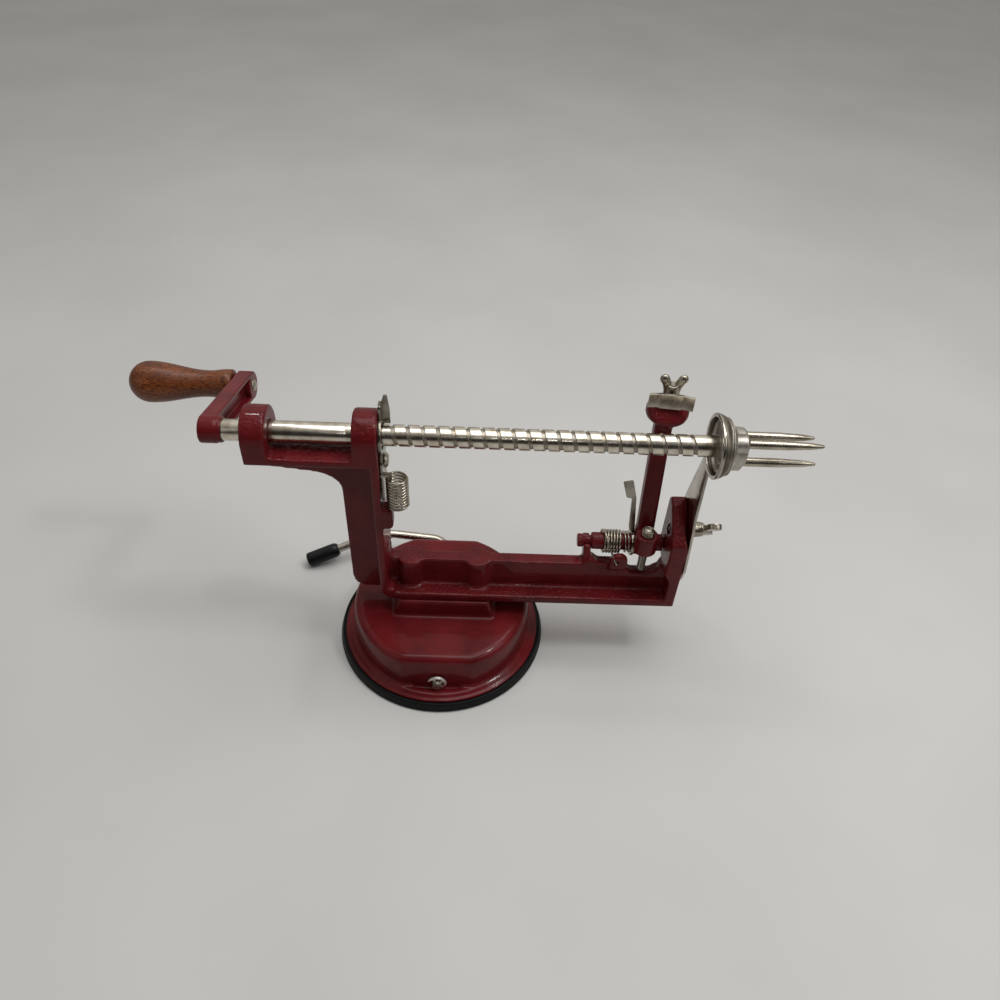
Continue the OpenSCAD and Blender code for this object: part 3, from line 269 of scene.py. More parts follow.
cast_enamel = burgundy_enamel("burgundy_enamel_on_castings", peel_mm=2.2, peel_height_mm=1.0,
                              grit_height_mm=0.1)


def even_step(low, high, value):
    """Runs straight from 0 to 1 between two values."""
    return min(1, max(0, (value - low) / (high - low)))


def smooth_step(low, high, value):
    """Runs from 0 to 1 between two values, with soft ends."""
    t = even_step(low, high, value)
    return t * t * (3 - 2 * t)


def reshaped(mesh, rule):
    """A mesh whose points a rule has moved; the rule takes and gives millimetres."""
    for vert in mesh.vertices:
        vert.co = Vector(rule(*(vert.co / MM))) * MM
    return mesh


def as_form(mesh):
    """A form that can be worked on, from a mesh; the mesh is used up."""
    form = bmesh.new()
    form.from_mesh(mesh)
    bpy.data.meshes.remove(mesh)
    return form


def prism(outline_mm, low_mm, high_mm):
    """A solid over an outline in X and Y, between two heights."""
    form = bmesh.new()
    ends = [[form.verts.new((x * MM, y * MM, z * MM)) for x, y in outline_mm] for z in (low_mm, high_mm)]
    form.faces.new(ends[0][::-1])
    form.faces.new(ends[1])
    for k in range(len(outline_mm)):
        form.faces.new((ends[0][k - 1], ends[0][k], ends[1][k], ends[1][k - 1]))
    return form


def less(form, tool):
    """A form with a second form cut out of it."""
    mesh = as_mesh("tool", tool)
    cutter = bpy.data.objects.new("tool", mesh)
    bpy.context.scene.collection.objects.link(cutter)
    cut = worked("cut", form, [("BOOLEAN", {"object": cutter, "operation": "DIFFERENCE"})])
    bpy.data.objects.remove(cutter)
    bpy.data.meshes.remove(mesh)
    return as_form(cut)


# A dip across the rail leaves room for the tip of the depth screw. Its outline is in X and Z.
dip_left, dip_right = 90.4, 107.5
dip_floor, dip_top = 50, 66
dip_slope = 3
dip_half = 12
dip_outline = [(dip_left, dip_top), (dip_left, dip_floor + dip_slope), (dip_left + 2.6, dip_floor),
               (dip_right - 4.5, dip_floor), (dip_right - 1.1, dip_floor + dip_slope), (dip_right, dip_top)]
dip = prism(dip_outline, -dip_half, dip_half)
bmesh.ops.transform(dip, matrix=Matrix.Rotation(math.pi / 2, 4, "X"), verts=dip.verts)

# The right upright in millimetres: its inner face, its front and the slope that ends the front.
upright_t = 5
end_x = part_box("peel_arm")[1].x / MM - upright_t
front_y = -11.4
slope_y, slope_z = -8.9, 80
slope_run = 1.14
thicker = 3
thicker_from = (51, 59)
edge_cut = 3.2
edge_cut_from = (70, 90)
edge_cut_depth = (2, 7)


def thick_upright(x, y, z):
    """The right upright's inner side stands further in, and its outer front edge is cut off on top."""
    if abs(x - end_x) < upright_t * 0.4:
        x -= thicker * smooth_step(*thicker_from, z)
    if x > end_x + upright_t * 0.2:
        from_front = y - max(front_y, slope_y + slope_run * (z - slope_z))
        cut = edge_cut * smooth_step(*edge_cut_from, z) * (1 - smooth_step(*edge_cut_depth, from_front))
        x = min(x, end_x + upright_t - cut)
    return x, y, z


frame_mesh = softened("frame_soft", less(copy_of("main_frame"), dip), cell_mm=0.75, passes=7)
casting = piece("frame_casting", reshaped(frame_mesh, thick_upright), cast_enamel, sharp_deg=180)
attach(casting, "frame")
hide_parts("main_frame")


# FRAME SCREWS AND CUP STUD
# Two steel screws under the seat and the eye stud in the cup. They are plain bright steel, turned
# and stamped, and stay hidden inside the dome.

def bright_steel(name, light, dark, rough_low, rough_high, line_mm, stretch=(1, 1, 1)):
    """Bare or plated steel: a mirror that fine machining lines blur along one direction, with
    slow stains of handling. The lines are drawn coarser than real ones so that they show."""
    finish, tree, shader, place = new_finish(name)
    turned = add(tree, "ShaderNodeMapping", {"Vector": place, "Scale": stretch})
    lines = add(tree, "ShaderNodeTexNoise", {"Vector": turned.outputs["Vector"], "Scale": grain(line_mm),
                                             "Detail": 3.0})
    stain = add(tree, "ShaderNodeTexNoise", {"Vector": place, "Scale": grain(9), "Detail": 5.0})
    metal = add(tree, "ShaderNodeValToRGB", {"Fac": stain.outputs["Fac"]}, ((0.3, dark), (0.62, light)))
    polish = add(tree, "ShaderNodeMapRange", {"Value": lines.outputs["Fac"], "To Min": rough_low,
                                              "To Max": rough_high})
    bump = add(tree, "ShaderNodeBump", {"Height": lines.outputs["Fac"], "Strength": 0.3,
                                        "Distance": 0.01 * MM})
    plug(tree, shader, {"Base Color": metal.outputs["Color"], "Roughness": polish.outputs["Result"],
                        "Normal": bump.outputs["Normal"], "Metallic": 1.0})
    return finish


plain_steel = bright_steel("turned_steel", "#b8b2a6", "#958d7f", 0.24, 0.42, 0.5)
for node in ("frame_screws", "cup_stud"):
    nodes[node].data.materials.clear()
    nodes[node].data.materials.append(plain_steel)


# SUCTION LEVER
# A steel rod bent by hand round the dome's back. It goes right through the dome, an open clip
# holds its front end, and its tip is dipped in black vinyl.

def wire_tree():
    """Sweeps a round section along an edge chain: springs and bent rods are made with it."""
    tree = bpy.data.node_groups.new("wire_along_a_path", "GeometryNodeTree")
    sockets = [("Path", "NodeSocketGeometry"), ("Wire Radius", "NodeSocketFloat"), ("Sides", "NodeSocketInt"),
               ("Finish", "NodeSocketMaterial")]
    for name, kind in sockets:
        tree.interface.new_socket(name, in_out="INPUT", socket_type=kind)
    tree.interface.new_socket("Wire", in_out="OUTPUT", socket_type="NodeSocketGeometry")
    given = add(tree, "NodeGroupInput").outputs
    line = add(tree, "GeometryNodeMeshToCurve", {"Mesh": given["Path"]})
    section = add(tree, "GeometryNodeCurvePrimitiveCircle", {"Resolution": given["Sides"],
                                                             "Radius": given["Wire Radius"]})
    swept = add(tree, "GeometryNodeCurveToMesh", {"Curve": line.outputs["Curve"],
                                                  "Profile Curve": section.outputs["Curve"],
                                                  "Fill Caps": True})
    real = add(tree, "GeometryNodeRealizeInstances", {"Geometry": swept.outputs["Mesh"]})
    dressed = add(tree, "GeometryNodeSetMaterial", {"Geometry": real.outputs["Geometry"],
                                                    "Material": given["Finish"]})
    add(tree, "NodeGroupOutput", {"Wire": dressed.outputs["Geometry"]})
    return tree


wire_along_a_path = wire_tree()


def made_by(tree, name, mesh, **inputs):
    """The plain mesh that a node tree makes of a mesh; inputs are named as the tree names them."""
    blank = bpy.data.objects.new(name, mesh)
    bpy.context.scene.collection.objects.link(blank)
    modifier = blank.modifiers.new("tree", "NODES")
    modifier.node_group = tree
    for item in tree.interface.items_tree:
        key = item.name.replace(" ", "_")
        if item.in_out == "INPUT" and key in inputs:
            modifier[item.identifier] = inputs[key]
    done = bpy.data.meshes.new_from_object(blank.evaluated_get(bpy.context.evaluated_depsgraph_get()))
    blank.modifiers.clear()
    bpy.data.objects.remove(blank)
    return done


def wire(name, points, diameter, finish, sides=16):
    """A wire or rod of that diameter along the points."""
    path = bpy.data.meshes.new("path")
    path.from_pydata([tuple(p) for p in points], [(i, i + 1) for i in range(len(points) - 1)], [])
    mesh = made_by(wire_along_a_path, name, path, Wire_Radius=diameter / 2, Sides=sides, Finish=finish)
    return piece(name, mesh, finish, sharp_deg=50)


rod_steel = bright_steel("drawn_steel_rod", "#bdb6aa", "#989083", 0.2, 0.34, 0.6)
lever_d = 4.6 * MM
lever_z = 10.5 * MM
lever_bend_r = 10 * MM
lever_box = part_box("suction_lever")
lever_back = Vector((0, lever_box[1].y - lever_d / 2, lever_z))
lever_crest = lever_back + Vector((-38, 0, 4.3)) * MM
lever_end = lever_back + Vector((-74.5, -12, -5.6)) * MM
lever_route = [Vector((0, lever_box[0].y, lever_z)), lever_back, lever_crest, lever_end]
lever = wire("lever_rod", rounded(lever_route, lever_bend_r, 12), lever_d, rod_steel, sides=24)
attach(lever, "lever")
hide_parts("suction_lever")

# Dipped vinyl: black, softly glossy, a little uneven where it ran before it set.
dipped_vinyl, tree, shader, place = new_finish("dipped_vinyl")
run = add(tree, "ShaderNodeTexNoise", {"Vector": place, "Scale": grain(3), "Detail": 2.0})
black = add(tree, "ShaderNodeValToRGB", {"Fac": run.outputs["Fac"]}, ((0.35, "#060607"), (0.65, "#0b0b0c")))
gloss = add(tree, "ShaderNodeMapRange", {"Value": run.outputs["Fac"], "To Min": 0.3, "To Max": 0.45})
bump = add(tree, "ShaderNodeBump", {"Height": run.outputs["Fac"], "Strength": 0.5, "Distance": 0.1 * MM})
plug(tree, shader, {"Base Color": black.outputs["Color"], "Roughness": gloss.outputs["Result"],
                    "Normal": bump.outputs["Normal"], "Specular IOR Level": 0.25})


def aim(form, start, direction):
    """Turns a form that stands on the origin along Z so that it runs from start along direction."""
    turn = Vector(direction).to_track_quat("Z", "Y").to_matrix().to_4x4()
    bmesh.ops.transform(form, matrix=Matrix.Translation(start) @ turn, verts=form.verts)
    return form


run_down = (lever_end - lever_crest).normalized()
grip_r = 4.1 * MM
grip_l = 18.5 * MM
sleeve = rounded([(0, 0), (grip_r, 0), (grip_r, grip_l - grip_r), (grip_r, grip_l), (0, grip_l)], grip_r, 8)
grip_start = lever_end - run_down * (grip_l - grip_r)
grip = piece("lever_tip", aim(lathe(sleeve, 48), grip_start, run_down), dipped_vinyl)
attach(grip, "lever")
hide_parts("lever_grip")


def broken_edges(name, form, edge_mm):
    """The mesh of a form whose sharp edges get a small round."""
    return worked(name, form, [
        ("BEVEL", {"width": edge_mm * MM, "segments": 2, "limit_method": "ANGLE",
                   "angle_limit": math.radians(40)})])


def eased(node, edge_mm):
    """A solid with its edges broken, as a deburred stamping has."""
    form = copy_of(node)
    bmesh.ops.dissolve_limit(form, angle_limit=math.radians(1), verts=form.verts, edges=form.edges)
    return broken_edges(node + "_eased", form, edge_mm)


white_zinc = bright_steel("white_zinc_plate", "#e6e4df", "#c9c6bf", 0.3, 0.46, 0.5)
clip = piece("lever_open_clip", eased("lever_clip", 0.12), white_zinc)
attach(clip, "lever")
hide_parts("lever_clip")


# DRIVE SHAFT
# A nickel-plated steel bar that runs in the two bosses. A square feed groove is cut round its right
# half, where the latch's tooth follows it, and the groove's floor is painted darker as painted shade.

shaft_low, shaft_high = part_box("drive_shaft")
shaft_r = (shaft_high.y - shaft_low.y) / 2
shaft_z = (shaft_high.z + shaft_low.z) / 2
pitch = 6.35 * MM
groove_w = 1.8 * MM
groove_depth = 0.8 * MM
plate_t = 1.2 * MM
groove_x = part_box("latch_plate")[0].x + plate_t / 2 - groove_w / 2 - 1.5 * pitch
fork_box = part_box("fork_hub")
fork_x = fork_box[0].x
turns = math.floor((fork_x - 2 * groove_w - groove_x) / pitch)
crank_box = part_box("crank_arm")
shoulder_at = crank_box[1].x
tenon_r = 3.25 * MM
tenon_end = crank_box[0].x + 3.3 * MM
spigot_end = fork_x + 8 * MM
# In turns: the plain ribbon before and after the groove, and half of the groove's run-out.
lead_in = 1.4
fade = 0.15


def joined(first, second):
    """The first form with the second one added to it."""
    added = as_mesh("added", second)
    first.from_mesh(added)
    bpy.data.meshes.remove(added)
    return first


def feed_shaft():
    """The bar's core, and one ribbon a pitch wide that winds round it and carries the groove."""
    land = (pitch - groove_w) / 3
    burr = 0.05 * MM
    flank = 0.02 * MM
    root = 0.12 * MM
    section = [(-burr, 0), (0, 0.07), (flank, 0.88), (root, 1), (groove_w - root, 1),
               (groove_w - flank, 0.88), (groove_w, 0.07), (groove_w + burr, 0),
               (groove_w + land, 0), (groove_w + 2 * land, 0)]
    around = 72
    first = round(-lead_in * around)
    last = round((turns + lead_in) * around)
    form = bmesh.new()
    groove_share = form.verts.layers.float.new("groove")
    rows = []
    for step in range(first, last + 1):
        t = step / around
        cut = smooth_step(-fade, fade, t) * (1 - smooth_step(turns - fade, turns + fade, t))
        row = []
        for offset, share in section:
            radius = shaft_r - groove_depth * share * cut
            angle = 2 * math.pi * t
            vert = form.verts.new((groove_x + pitch * t + offset, radius * math.cos(angle),
                                   shaft_z + radius * math.sin(angle)))
            vert[groove_share] = share * cut
            row.append(vert)
        rows.append(row)
    for here, row in enumerate(rows[:-1]):
        ahead = rows[here + 1]
        for p in range(len(section) - 1):
            form.faces.new((row[p], ahead[p], ahead[p + 1], row[p + 1]))
        if here + 1 + around < len(rows):
            form.faces.new((row[-1], ahead[-1], rows[here + 1 + around][0], rows[here + around][0]))
    skin = shaft_r - 0.015 * MM
    under = shaft_r - groove_depth - 0.3 * MM
    slope = 0.2 * MM
    left = groove_x - 0.3 * pitch
    right = groove_x + (turns + 0.35) * pitch + groove_w
    core = rounded([(0, tenon_end), (tenon_r, tenon_end), (tenon_r, shoulder_at), (skin, shoulder_at),
                    (skin, left), (under, left + slope), (under, right - slope), (skin, right),
                    (skin, fork_x), (under, fork_x), (under, spigot_end), (0, spigot_end)], 0.1 * MM, 2)
    return joined(form, aim(lathe(core, 72), (0, 0, shaft_z), (1, 0, 0)))


def plated_shaft():
    """Bright nickel with the lathe's rings round the bar; the groove's floor is painted darker, as painted
    shade made patchy by the stain noise, and is rougher.
    """
    finish, tree, shader, place = new_finish("nickel_plated_shaft")
    turned = add(tree, "ShaderNodeMapping", {"Vector": place, "Scale": (1, 0.15, 0.15)})
    rings = add(tree, "ShaderNodeTexNoise", {"Vector": turned.outputs["Vector"], "Scale": grain(0.35),
                                             "Detail": 2.0})
    stain = add(tree, "ShaderNodeTexNoise", {"Vector": place, "Scale": grain(5), "Detail": 5.0})
    bare = add(tree, "ShaderNodeValToRGB", {"Fac": stain.outputs["Fac"]},
               ((0.32, "#b5aa98"), (0.6, "#d8d1c4")))
    depth = add(tree, "ShaderNodeAttribute", attribute_name="groove").outputs["Fac"]
    # Painted shade: the groove's depth share times the stain noise mixes the floor towards dark brown #3a2f24
    # and makes it rougher.
    groove_shade_mask = add(tree, "ShaderNodeMath", {0: depth, 1: stain.outputs["Fac"]},
               operation="MULTIPLY", use_clamp=True)
    groove_shaded_colour = add(tree, "ShaderNodeMix", {"Factor": groove_shade_mask.outputs["Value"], "A": bare.outputs["Color"],
                                        "B": linear("#3a2f24")}, data_type="RGBA")
    polish = add(tree, "ShaderNodeMapRange", {"Value": rings.outputs["Fac"], "To Min": 0.14, "To Max": 0.32})
    dull = add(tree, "ShaderNodeMath", {0: groove_shade_mask.outputs["Value"], 1: 0.4, 2: polish.outputs["Result"]},
               operation="MULTIPLY_ADD")
    bump = add(tree, "ShaderNodeBump", {"Height": rings.outputs["Fac"], "Strength": 0.4,
                                        "Distance": 0.01 * MM})
    plug(tree, shader, {"Base Color": groove_shaded_colour.outputs["Result"], "Roughness": dull.outputs["Value"],
                        "Normal": bump.outputs["Normal"], "Metallic": 1.0})
    return finish


shaft = piece("feed_shaft", feed_shaft(), plated_shaft(), sharp_deg=30)
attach(shaft, "drive")
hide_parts("drive_shaft")


# CRANK
# A short cast arm with a hollowed face, enamelled as smoothly as the dome. It is riveted on the
# shaft's end, and a second rivet through its outer end carries the handle.

crank_mesh = softened("crank_soft", copy_of("crank_arm"), cell_mm=0.35, passes=6)
crank = piece("crank_casting", crank_mesh, pressed_enamel, sharp_deg=180)
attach(crank, "drive")
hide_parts("crank_arm")

rivet_steel = bright_steel("peened_rivet_steel", "#bdb6a9", "#8d8578", 0.28, 0.48, 0.5)
for node, body in (("crank_rivet", "feed"), ("handle_pin", "drive")):
    rivet = piece(node + "_head", eased(node, 0.15), rivet_steel)
    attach(rivet, body)
    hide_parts(node)


# HANDLE
# Turned beech, stained red-brown and varnished. It is bored along its length and turns on its pin.

def stained_beech():
    """Long dark pores and slow bands run along the handle; the varnish gives an even soft gloss."""
    finish, tree, shader, place = new_finish("stained_beech")
    along = add(tree, "ShaderNodeMapping", {"Vector": place, "Scale": (0.12, 1, 1)})
    bands = add(tree, "ShaderNodeTexNoise", {"Vector": along.outputs["Vector"], "Scale": grain(5),
                                             "Detail": 3.0, "Distortion": 0.6})
    pores = add(tree, "ShaderNodeTexNoise", {"Vector": along.outputs["Vector"], "Scale": grain(0.3),
                                             "Detail": 3.0})
    stain = add(tree, "ShaderNodeValToRGB", {"Fac": bands.outputs["Fac"]},
                ((0.3, "#5a2c12"), (0.7, "#884a22")))
    flecks = add(tree, "ShaderNodeValToRGB", {"Fac": pores.outputs["Fac"]},
                 ((0.38, "#7a5238"), (0.56, "#ffffff")))
    wood = add(tree, "ShaderNodeMix", {"Factor": 1.0, "A": stain.outputs["Color"],
                                       "B": flecks.outputs["Color"]}, data_type="RGBA", blend_type="MULTIPLY")
    gloss = add(tree, "ShaderNodeMapRange", {"Value": pores.outputs["Fac"], "To Min": 0.5, "To Max": 0.32})
    bump = add(tree, "ShaderNodeBump", {"Height": pores.outputs["Fac"], "Strength": 0.4,
                                        "Distance": 0.05 * MM})
    plug(tree, shader, {"Base Color": wood.outputs["Result"], "Roughness": gloss.outputs["Result"],
                        "Normal": bump.outputs["Normal"], "Specular IOR Level": 0.3, "Coat Weight": 0.12,
                        "Coat Roughness": 0.2})
    return finish


handle_low, handle_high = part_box("handle")
handle_l = handle_high.x - handle_low.x
handle_start = (handle_high.x, (handle_low.y + handle_high.y) / 2, (handle_low.z + handle_high.z) / 2)
bore_r = 2.56 * MM
bore_l = 40.3 * MM
bore_edge = 0.4 * MM
heel_r = 7.3 * MM
heel_l = 2.4 * MM
heel_edge = 1 * MM
neck_r = 6.4 * MM
neck_at = 0.24 * handle_l
butt_r = (handle_high.y - handle_low.y) / 2
swell_at = handle_l - butt_r


def blended(start, end, steps):
    """Points after start as far as end, on a curve that leaves and arrives along the axis."""
    points = []
    for k in range(1, steps + 1):
        t = k / steps
        share = (1 - math.cos(math.pi * t)) / 2
        points.append((start[0] + (end[0] - start[0]) * share, start[1] + (end[1] - start[1]) * t))
    return points


def handle_outline():
    """Bore, flared heel, slim neck, long swell and a round butt."""
    outline = [(0, bore_l), (bore_r, bore_l), (bore_r, bore_edge), (bore_r + bore_edge, 0),
               (heel_r - heel_edge, 0), (heel_r - 0.3 * heel_edge, 0.3 * heel_edge), (heel_r, heel_edge)]
    outline += blended((heel_r, heel_l), (neck_r, neck_at), 12)
    outline += blended((neck_r, neck_at), (butt_r, swell_at), 32)
    steps = 16
    for k in range(1, steps):
        angle = math.pi / 2 * k / steps
        outline.append((butt_r * math.cos(angle), swell_at + butt_r * math.sin(angle)))
    return outline + [(0, handle_l)]


handle_form = aim(lathe(handle_outline(), 64), handle_start, (-1, 0, 0))
handle = piece("beech_handle", handle_form, stained_beech(), sharp_deg=50)
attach(handle, "grip")
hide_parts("handle")


# FORK
# A die-cast aluminium hub is pressed on the shaft's end. Three pointed steel prongs are pressed into
# its face and hold what is to be peeled.

def cast_aluminium():
    """Grey metal with a frosted skin, fine pits and darker handling marks."""
    finish, tree, shader, place = new_finish("die_cast_aluminium")
    skin = add(tree, "ShaderNodeTexNoise", {"Vector": place, "Scale": grain(0.9), "Detail": 4.0})
    mark = add(tree, "ShaderNodeTexNoise", {"Vector": place, "Scale": grain(6), "Detail": 4.0})
    grey = add(tree, "ShaderNodeValToRGB", {"Fac": mark.outputs["Fac"]},
               ((0.32, "#8d877d"), (0.62, "#b6b1a8")))
    frost = add(tree, "ShaderNodeMapRange", {"Value": skin.outputs["Fac"], "To Min": 0.3, "To Max": 0.55})
    bump = add(tree, "ShaderNodeBump", {"Height": skin.outputs["Fac"], "Strength": 0.6,
                                        "Distance": 0.06 * MM})
    plug(tree, shader, {"Base Color": grey.outputs["Color"], "Roughness": frost.outputs["Result"],
                        "Normal": bump.outputs["Normal"], "Metallic": 1.0})
    return finish


# The solid hub widens in two steps from its left end. Radii, and depths from that end, are in
# millimetres, and each pair is where a change starts and ends.
hub_radii = (8, 10, 10.6)
hub_step_at = ((2.3, 3.5), (3.5, 4.9))
hub_wall = (4.6, 7)
flange_r = 12.2
flange_end = (3.7, 5.5)
dish_depth = 1.8
dish_within = 0.9
dish_inner = (5.2, 6.6)
dish_rim = (10.2, 11.4)


def wide_flange(x, y, z):
    """The hub's flange nearly fills the corer ring, and its left face is dished."""
    depth = x - fork_x / MM
    across = z - shaft_z / MM
    radius = math.hypot(y, across)
    solid_r = hub_radii[0]
    for step, (before, after) in zip(hub_step_at, zip(hub_radii, hub_radii[1:])):
        solid_r += (after - before) * smooth_step(*step, depth)
    flange = smooth_step(*hub_wall, radius) * (1 - smooth_step(*flange_end, depth))
    grow = 1 + flange * (flange_r / solid_r - 1)
    dish = smooth_step(*dish_inner, radius * grow) * (1 - smooth_step(*dish_rim, radius * grow))
    if depth < dish_within:
        x += dish_depth * dish
    return x, y * grow, shaft_z / MM + across * grow


hub_mesh = softened("hub_soft", copy_of("fork_hub"), cell_mm=0.3, passes=4)
hub = piece("fork_casting", reshaped(hub_mesh, wide_flange), cast_aluminium(), sharp_deg=180)
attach(hub, "drive")
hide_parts("fork_hub")


def ring_tree():
    """Sets copies of one piece at even steps on a ring round X."""
    tree = bpy.data.node_groups.new("pieces_on_a_ring", "GeometryNodeTree")
    sockets = [("Piece", "NodeSocketGeometry"), ("Count", "NodeSocketInt"),
               ("Ring Radius", "NodeSocketFloat"), ("First Angle", "NodeSocketFloat"),
               ("Centre", "NodeSocketVector"), ("Finish", "NodeSocketMaterial")]
    for name, kind in sockets:
        tree.interface.new_socket(name, in_out="INPUT", socket_type=kind)
    tree.interface.new_socket("Ring", in_out="OUTPUT", socket_type="NodeSocketGeometry")
    given = add(tree, "NodeGroupInput").outputs
    ring = add(tree, "GeometryNodeMeshCircle", {"Vertices": given["Count"], "Radius": given["Ring Radius"]})
    copies = add(tree, "GeometryNodeInstanceOnPoints", {"Points": ring.outputs["Mesh"],
                                                        "Instance": given["Piece"]})
    angle = add(tree, "ShaderNodeCombineXYZ", {"Z": given["First Angle"]})
    turned = add(tree, "GeometryNodeTransform", {"Geometry": copies.outputs["Instances"],
                                                 "Rotation": angle.outputs["Vector"]})
    laid = add(tree, "GeometryNodeTransform", {"Geometry": turned.outputs["Geometry"],
                                               "Translation": given["Centre"],
                                               "Rotation": (0, math.pi / 2, 0)})
    real = add(tree, "GeometryNodeRealizeInstances", {"Geometry": laid.outputs["Geometry"]})
    dressed = add(tree, "GeometryNodeSetMaterial", {"Geometry": real.outputs["Geometry"],
                                                    "Material": given["Finish"]})
    add(tree, "NodeGroupOutput", {"Ring": dressed.outputs["Geometry"]})
    return tree


nickel = bright_steel("nickel_plate", "#b4ac9d", "#80786a", 0.18, 0.34, 0.6)
prong_r = 2 * MM
prong_l = 32.4 * MM
prong_in = 7.7 * MM
prong_ring_r = 6.6 * MM
prong_angle = math.radians(100)
prong_outline = rounded([(0, -prong_in), (prong_r, -prong_in), (prong_r, 0.5 * prong_l),
                         (0.74 * prong_r, 0.82 * prong_l), (0.4 * prong_r, prong_l - 0.5 * MM), (0, prong_l)],
                        1.2 * MM, 5)
prong = as_mesh("prong", lathe(prong_outline, 32))
prongs_mesh = made_by(ring_tree(), "fork_tines", prong, Count=3, Ring_Radius=prong_ring_r,
                      First_Angle=prong_angle, Centre=(fork_box[1].x, 0, shaft_z), Finish=nickel)
prongs = piece("fork_tines", prongs_mesh, nickel, sharp_deg=40)
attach(prongs, "drive")
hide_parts("fork_prongs")


# FEED LATCH
# A stamped steel plate that turns on a rivet in the left upright. Its tooth follows the groove, a coil
# spring under its ear holds it in, and the thumb tab frees the shaft.

spring_steel = bright_steel("stamped_spring_steel", "#9b958a", "#5e574c", 0.14, 0.32, 0.7)
latch = piece("latch_stamping", eased("latch_plate", 0.18), spring_steel)
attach(latch, "latch")
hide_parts("latch_plate")

latch_rivet = piece("latch_rivet_head", eased("latch_rivet", 0.2), rivet_steel)
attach(latch_rivet, "frame")
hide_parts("latch_rivet")


def coil(centre, axis, start, mean_r, length, curls, closed, hand=1):
    """Points of a wire wound round an axis from one side; part of a curl lies flat, half at each end."""
    per_curl = 28
    along = Vector(axis)
    across = Vector(start)
    third = along.cross(across) * hand
    points = []
    for k in range(curls * per_curl + 1):
        turn = k / per_curl
        rise = even_step(closed / 2, curls - closed / 2, turn)
        angle = 2 * math.pi * turn
        out = across * math.cos(angle) + third * math.sin(angle)
        points.append(Vector(centre) + along * length * rise + out * mean_r)
    return points


spring_low, spring_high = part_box("latch_spring")
latch_wire = 1.15 * MM
latch_coil_r = (spring_high.x - spring_low.x - latch_wire) / 2
latch_foot = ((spring_low.x + spring_high.x) / 2, (spring_low.y + spring_high.y) / 2,
              spring_low.z + latch_wire / 2)
latch_len = spring_high.z - spring_low.z - latch_wire
latch_curls = coil(latch_foot, (0, 0, 1), (1, 0, 0), latch_coil_r, latch_len, curls=10, closed=0.75)
latch_spring = wire("latch_coil", latch_curls, latch_wire, nickel, sides=12)
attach(latch_spring, "frame")
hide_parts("latch_spring")
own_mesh(latch_spring)


# PEELING ARM
# A second iron casting, enamelled like the frame. It swings on trunnions in the saddle and in the
# right upright, and its flat head carries the peeling knife.

# Places and sizes on the arm, in millimetres: the trunnions' Y and Z, then X and Y of the two bores.
# Each later pair is where a change starts and ends.
arm_axis = (5, 64)
knife_axis = (100.6, 23)
screw_axis = (97.6, -2)
shoulder_x = 102.8
shoulder_top = 72
shoulder_r = 4.2
trunnion_l = 3.4
trunnion_r = 2.5
lug_r = 5.4
lug_wider = 0.18
lug_wider_to = (0, 3)
lug_rise = 2.6
lug_rise_from = (70.5, 72.5)
lug_limit = 76
neck_z = 117
head_pinch = 0.46
pinch_behind = (117, 124)
pinch_before = (129, 136)
head_foot = 124.2
head_top = 134.6
solid_head_h = 12


def drawn(value, middle, share):
    """A coordinate moved towards a middle, or away from it where the share is over one."""
    return middle + (value - middle) * share


def arm_form(x, y, z):
    """A slim shoulder by the upright, a taller and wider screw lug, and a low head, flat behind."""
    if x > shoulder_x and z < shoulder_top:
        slim_r = shoulder_r if x < end_x - trunnion_l else trunnion_r
        keep = slim_r / max(slim_r, math.hypot(y - arm_axis[0], z - arm_axis[1]))
        y = drawn(y, arm_axis[0], keep)
        z = drawn(z, arm_axis[1], keep)
    if math.hypot(x - screw_axis[0], y - screw_axis[1]) < lug_r and z < lug_limit:
        x = drawn(x, screw_axis[0], 1 + lug_wider * (1 - smooth_step(*lug_wider_to, y)))
        z += lug_rise * smooth_step(*lug_rise_from, z)
    if z > neck_z:
        pinch = pinch_behind if y > knife_axis[1] else pinch_before
        y = drawn(y, knife_axis[1], 1 - head_pinch * smooth_step(*pinch, z))
    if z > head_foot:
        z = drawn(z, head_foot, (head_top - head_foot) / solid_head_h)
    return x, y, z


arm_mesh = softened("arm_soft", copy_of("peel_arm"), cell_mm=0.45, passes=6)
arm = piece("arm_casting", reshaped(arm_mesh, arm_form), cast_enamel, sharp_deg=180)
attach(arm, "arm")
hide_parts("peel_arm")


# ARM SPRING, CATCH AND CATCH SPRING
# A torsion spring wound round the arm's barrel, hooked through the rail's tab, a stamped thumb catch
# beside it, and the light spring between the catch and the arm.

arm_low, arm_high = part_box("arm_spring")
arm_wire = 1.1 * MM
arm_coil_r = 5.4 * MM
arm_start = Vector((arm_low.x + 0.1 * MM, arm_axis[0] * MM, arm_axis[1] * MM))
arm_len = arm_high.x - arm_wire / 2 - arm_start.x
leg_from = math.radians(60)
leg_sweep = math.radians(88)
leg_side = (0, math.cos(leg_from), math.sin(leg_from))
arm_curls = coil(arm_start, (1, 0, 0), leg_side, arm_coil_r, arm_len, curls=6, closed=0.1, hand=-1)
# The leg leaves the first curl, lifts off it and drifts along it, and ends in a hook.
leg_lift = 1.2 * MM
leg_lifted = 0.7
leg_drift = 2.2 * MM
leg_steps = 8
hook_r = 1.2 * MM
hook = [Vector((84.95, -6.2, 58.5)) * MM, Vector((84.95, -1.4, 58.5)) * MM]
arm_leg = []
for k in range(leg_steps + 1):
    t = k / leg_steps
    angle = leg_from + leg_sweep * t
    reach = arm_coil_r + leg_lift * smooth_step(0, leg_lifted, t)
    arm_leg.append(arm_start + Vector((leg_drift * t, reach * math.cos(angle), reach * math.sin(angle))))
arm_leg = arm_leg[:-1] + rounded([arm_leg[-1]] + hook, hook_r, 5)
arm_spring = wire("arm_coil", arm_leg[::-1] + arm_curls[1:], arm_wire, nickel, sides=12)
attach(arm_spring, "frame")
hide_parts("arm_spring")


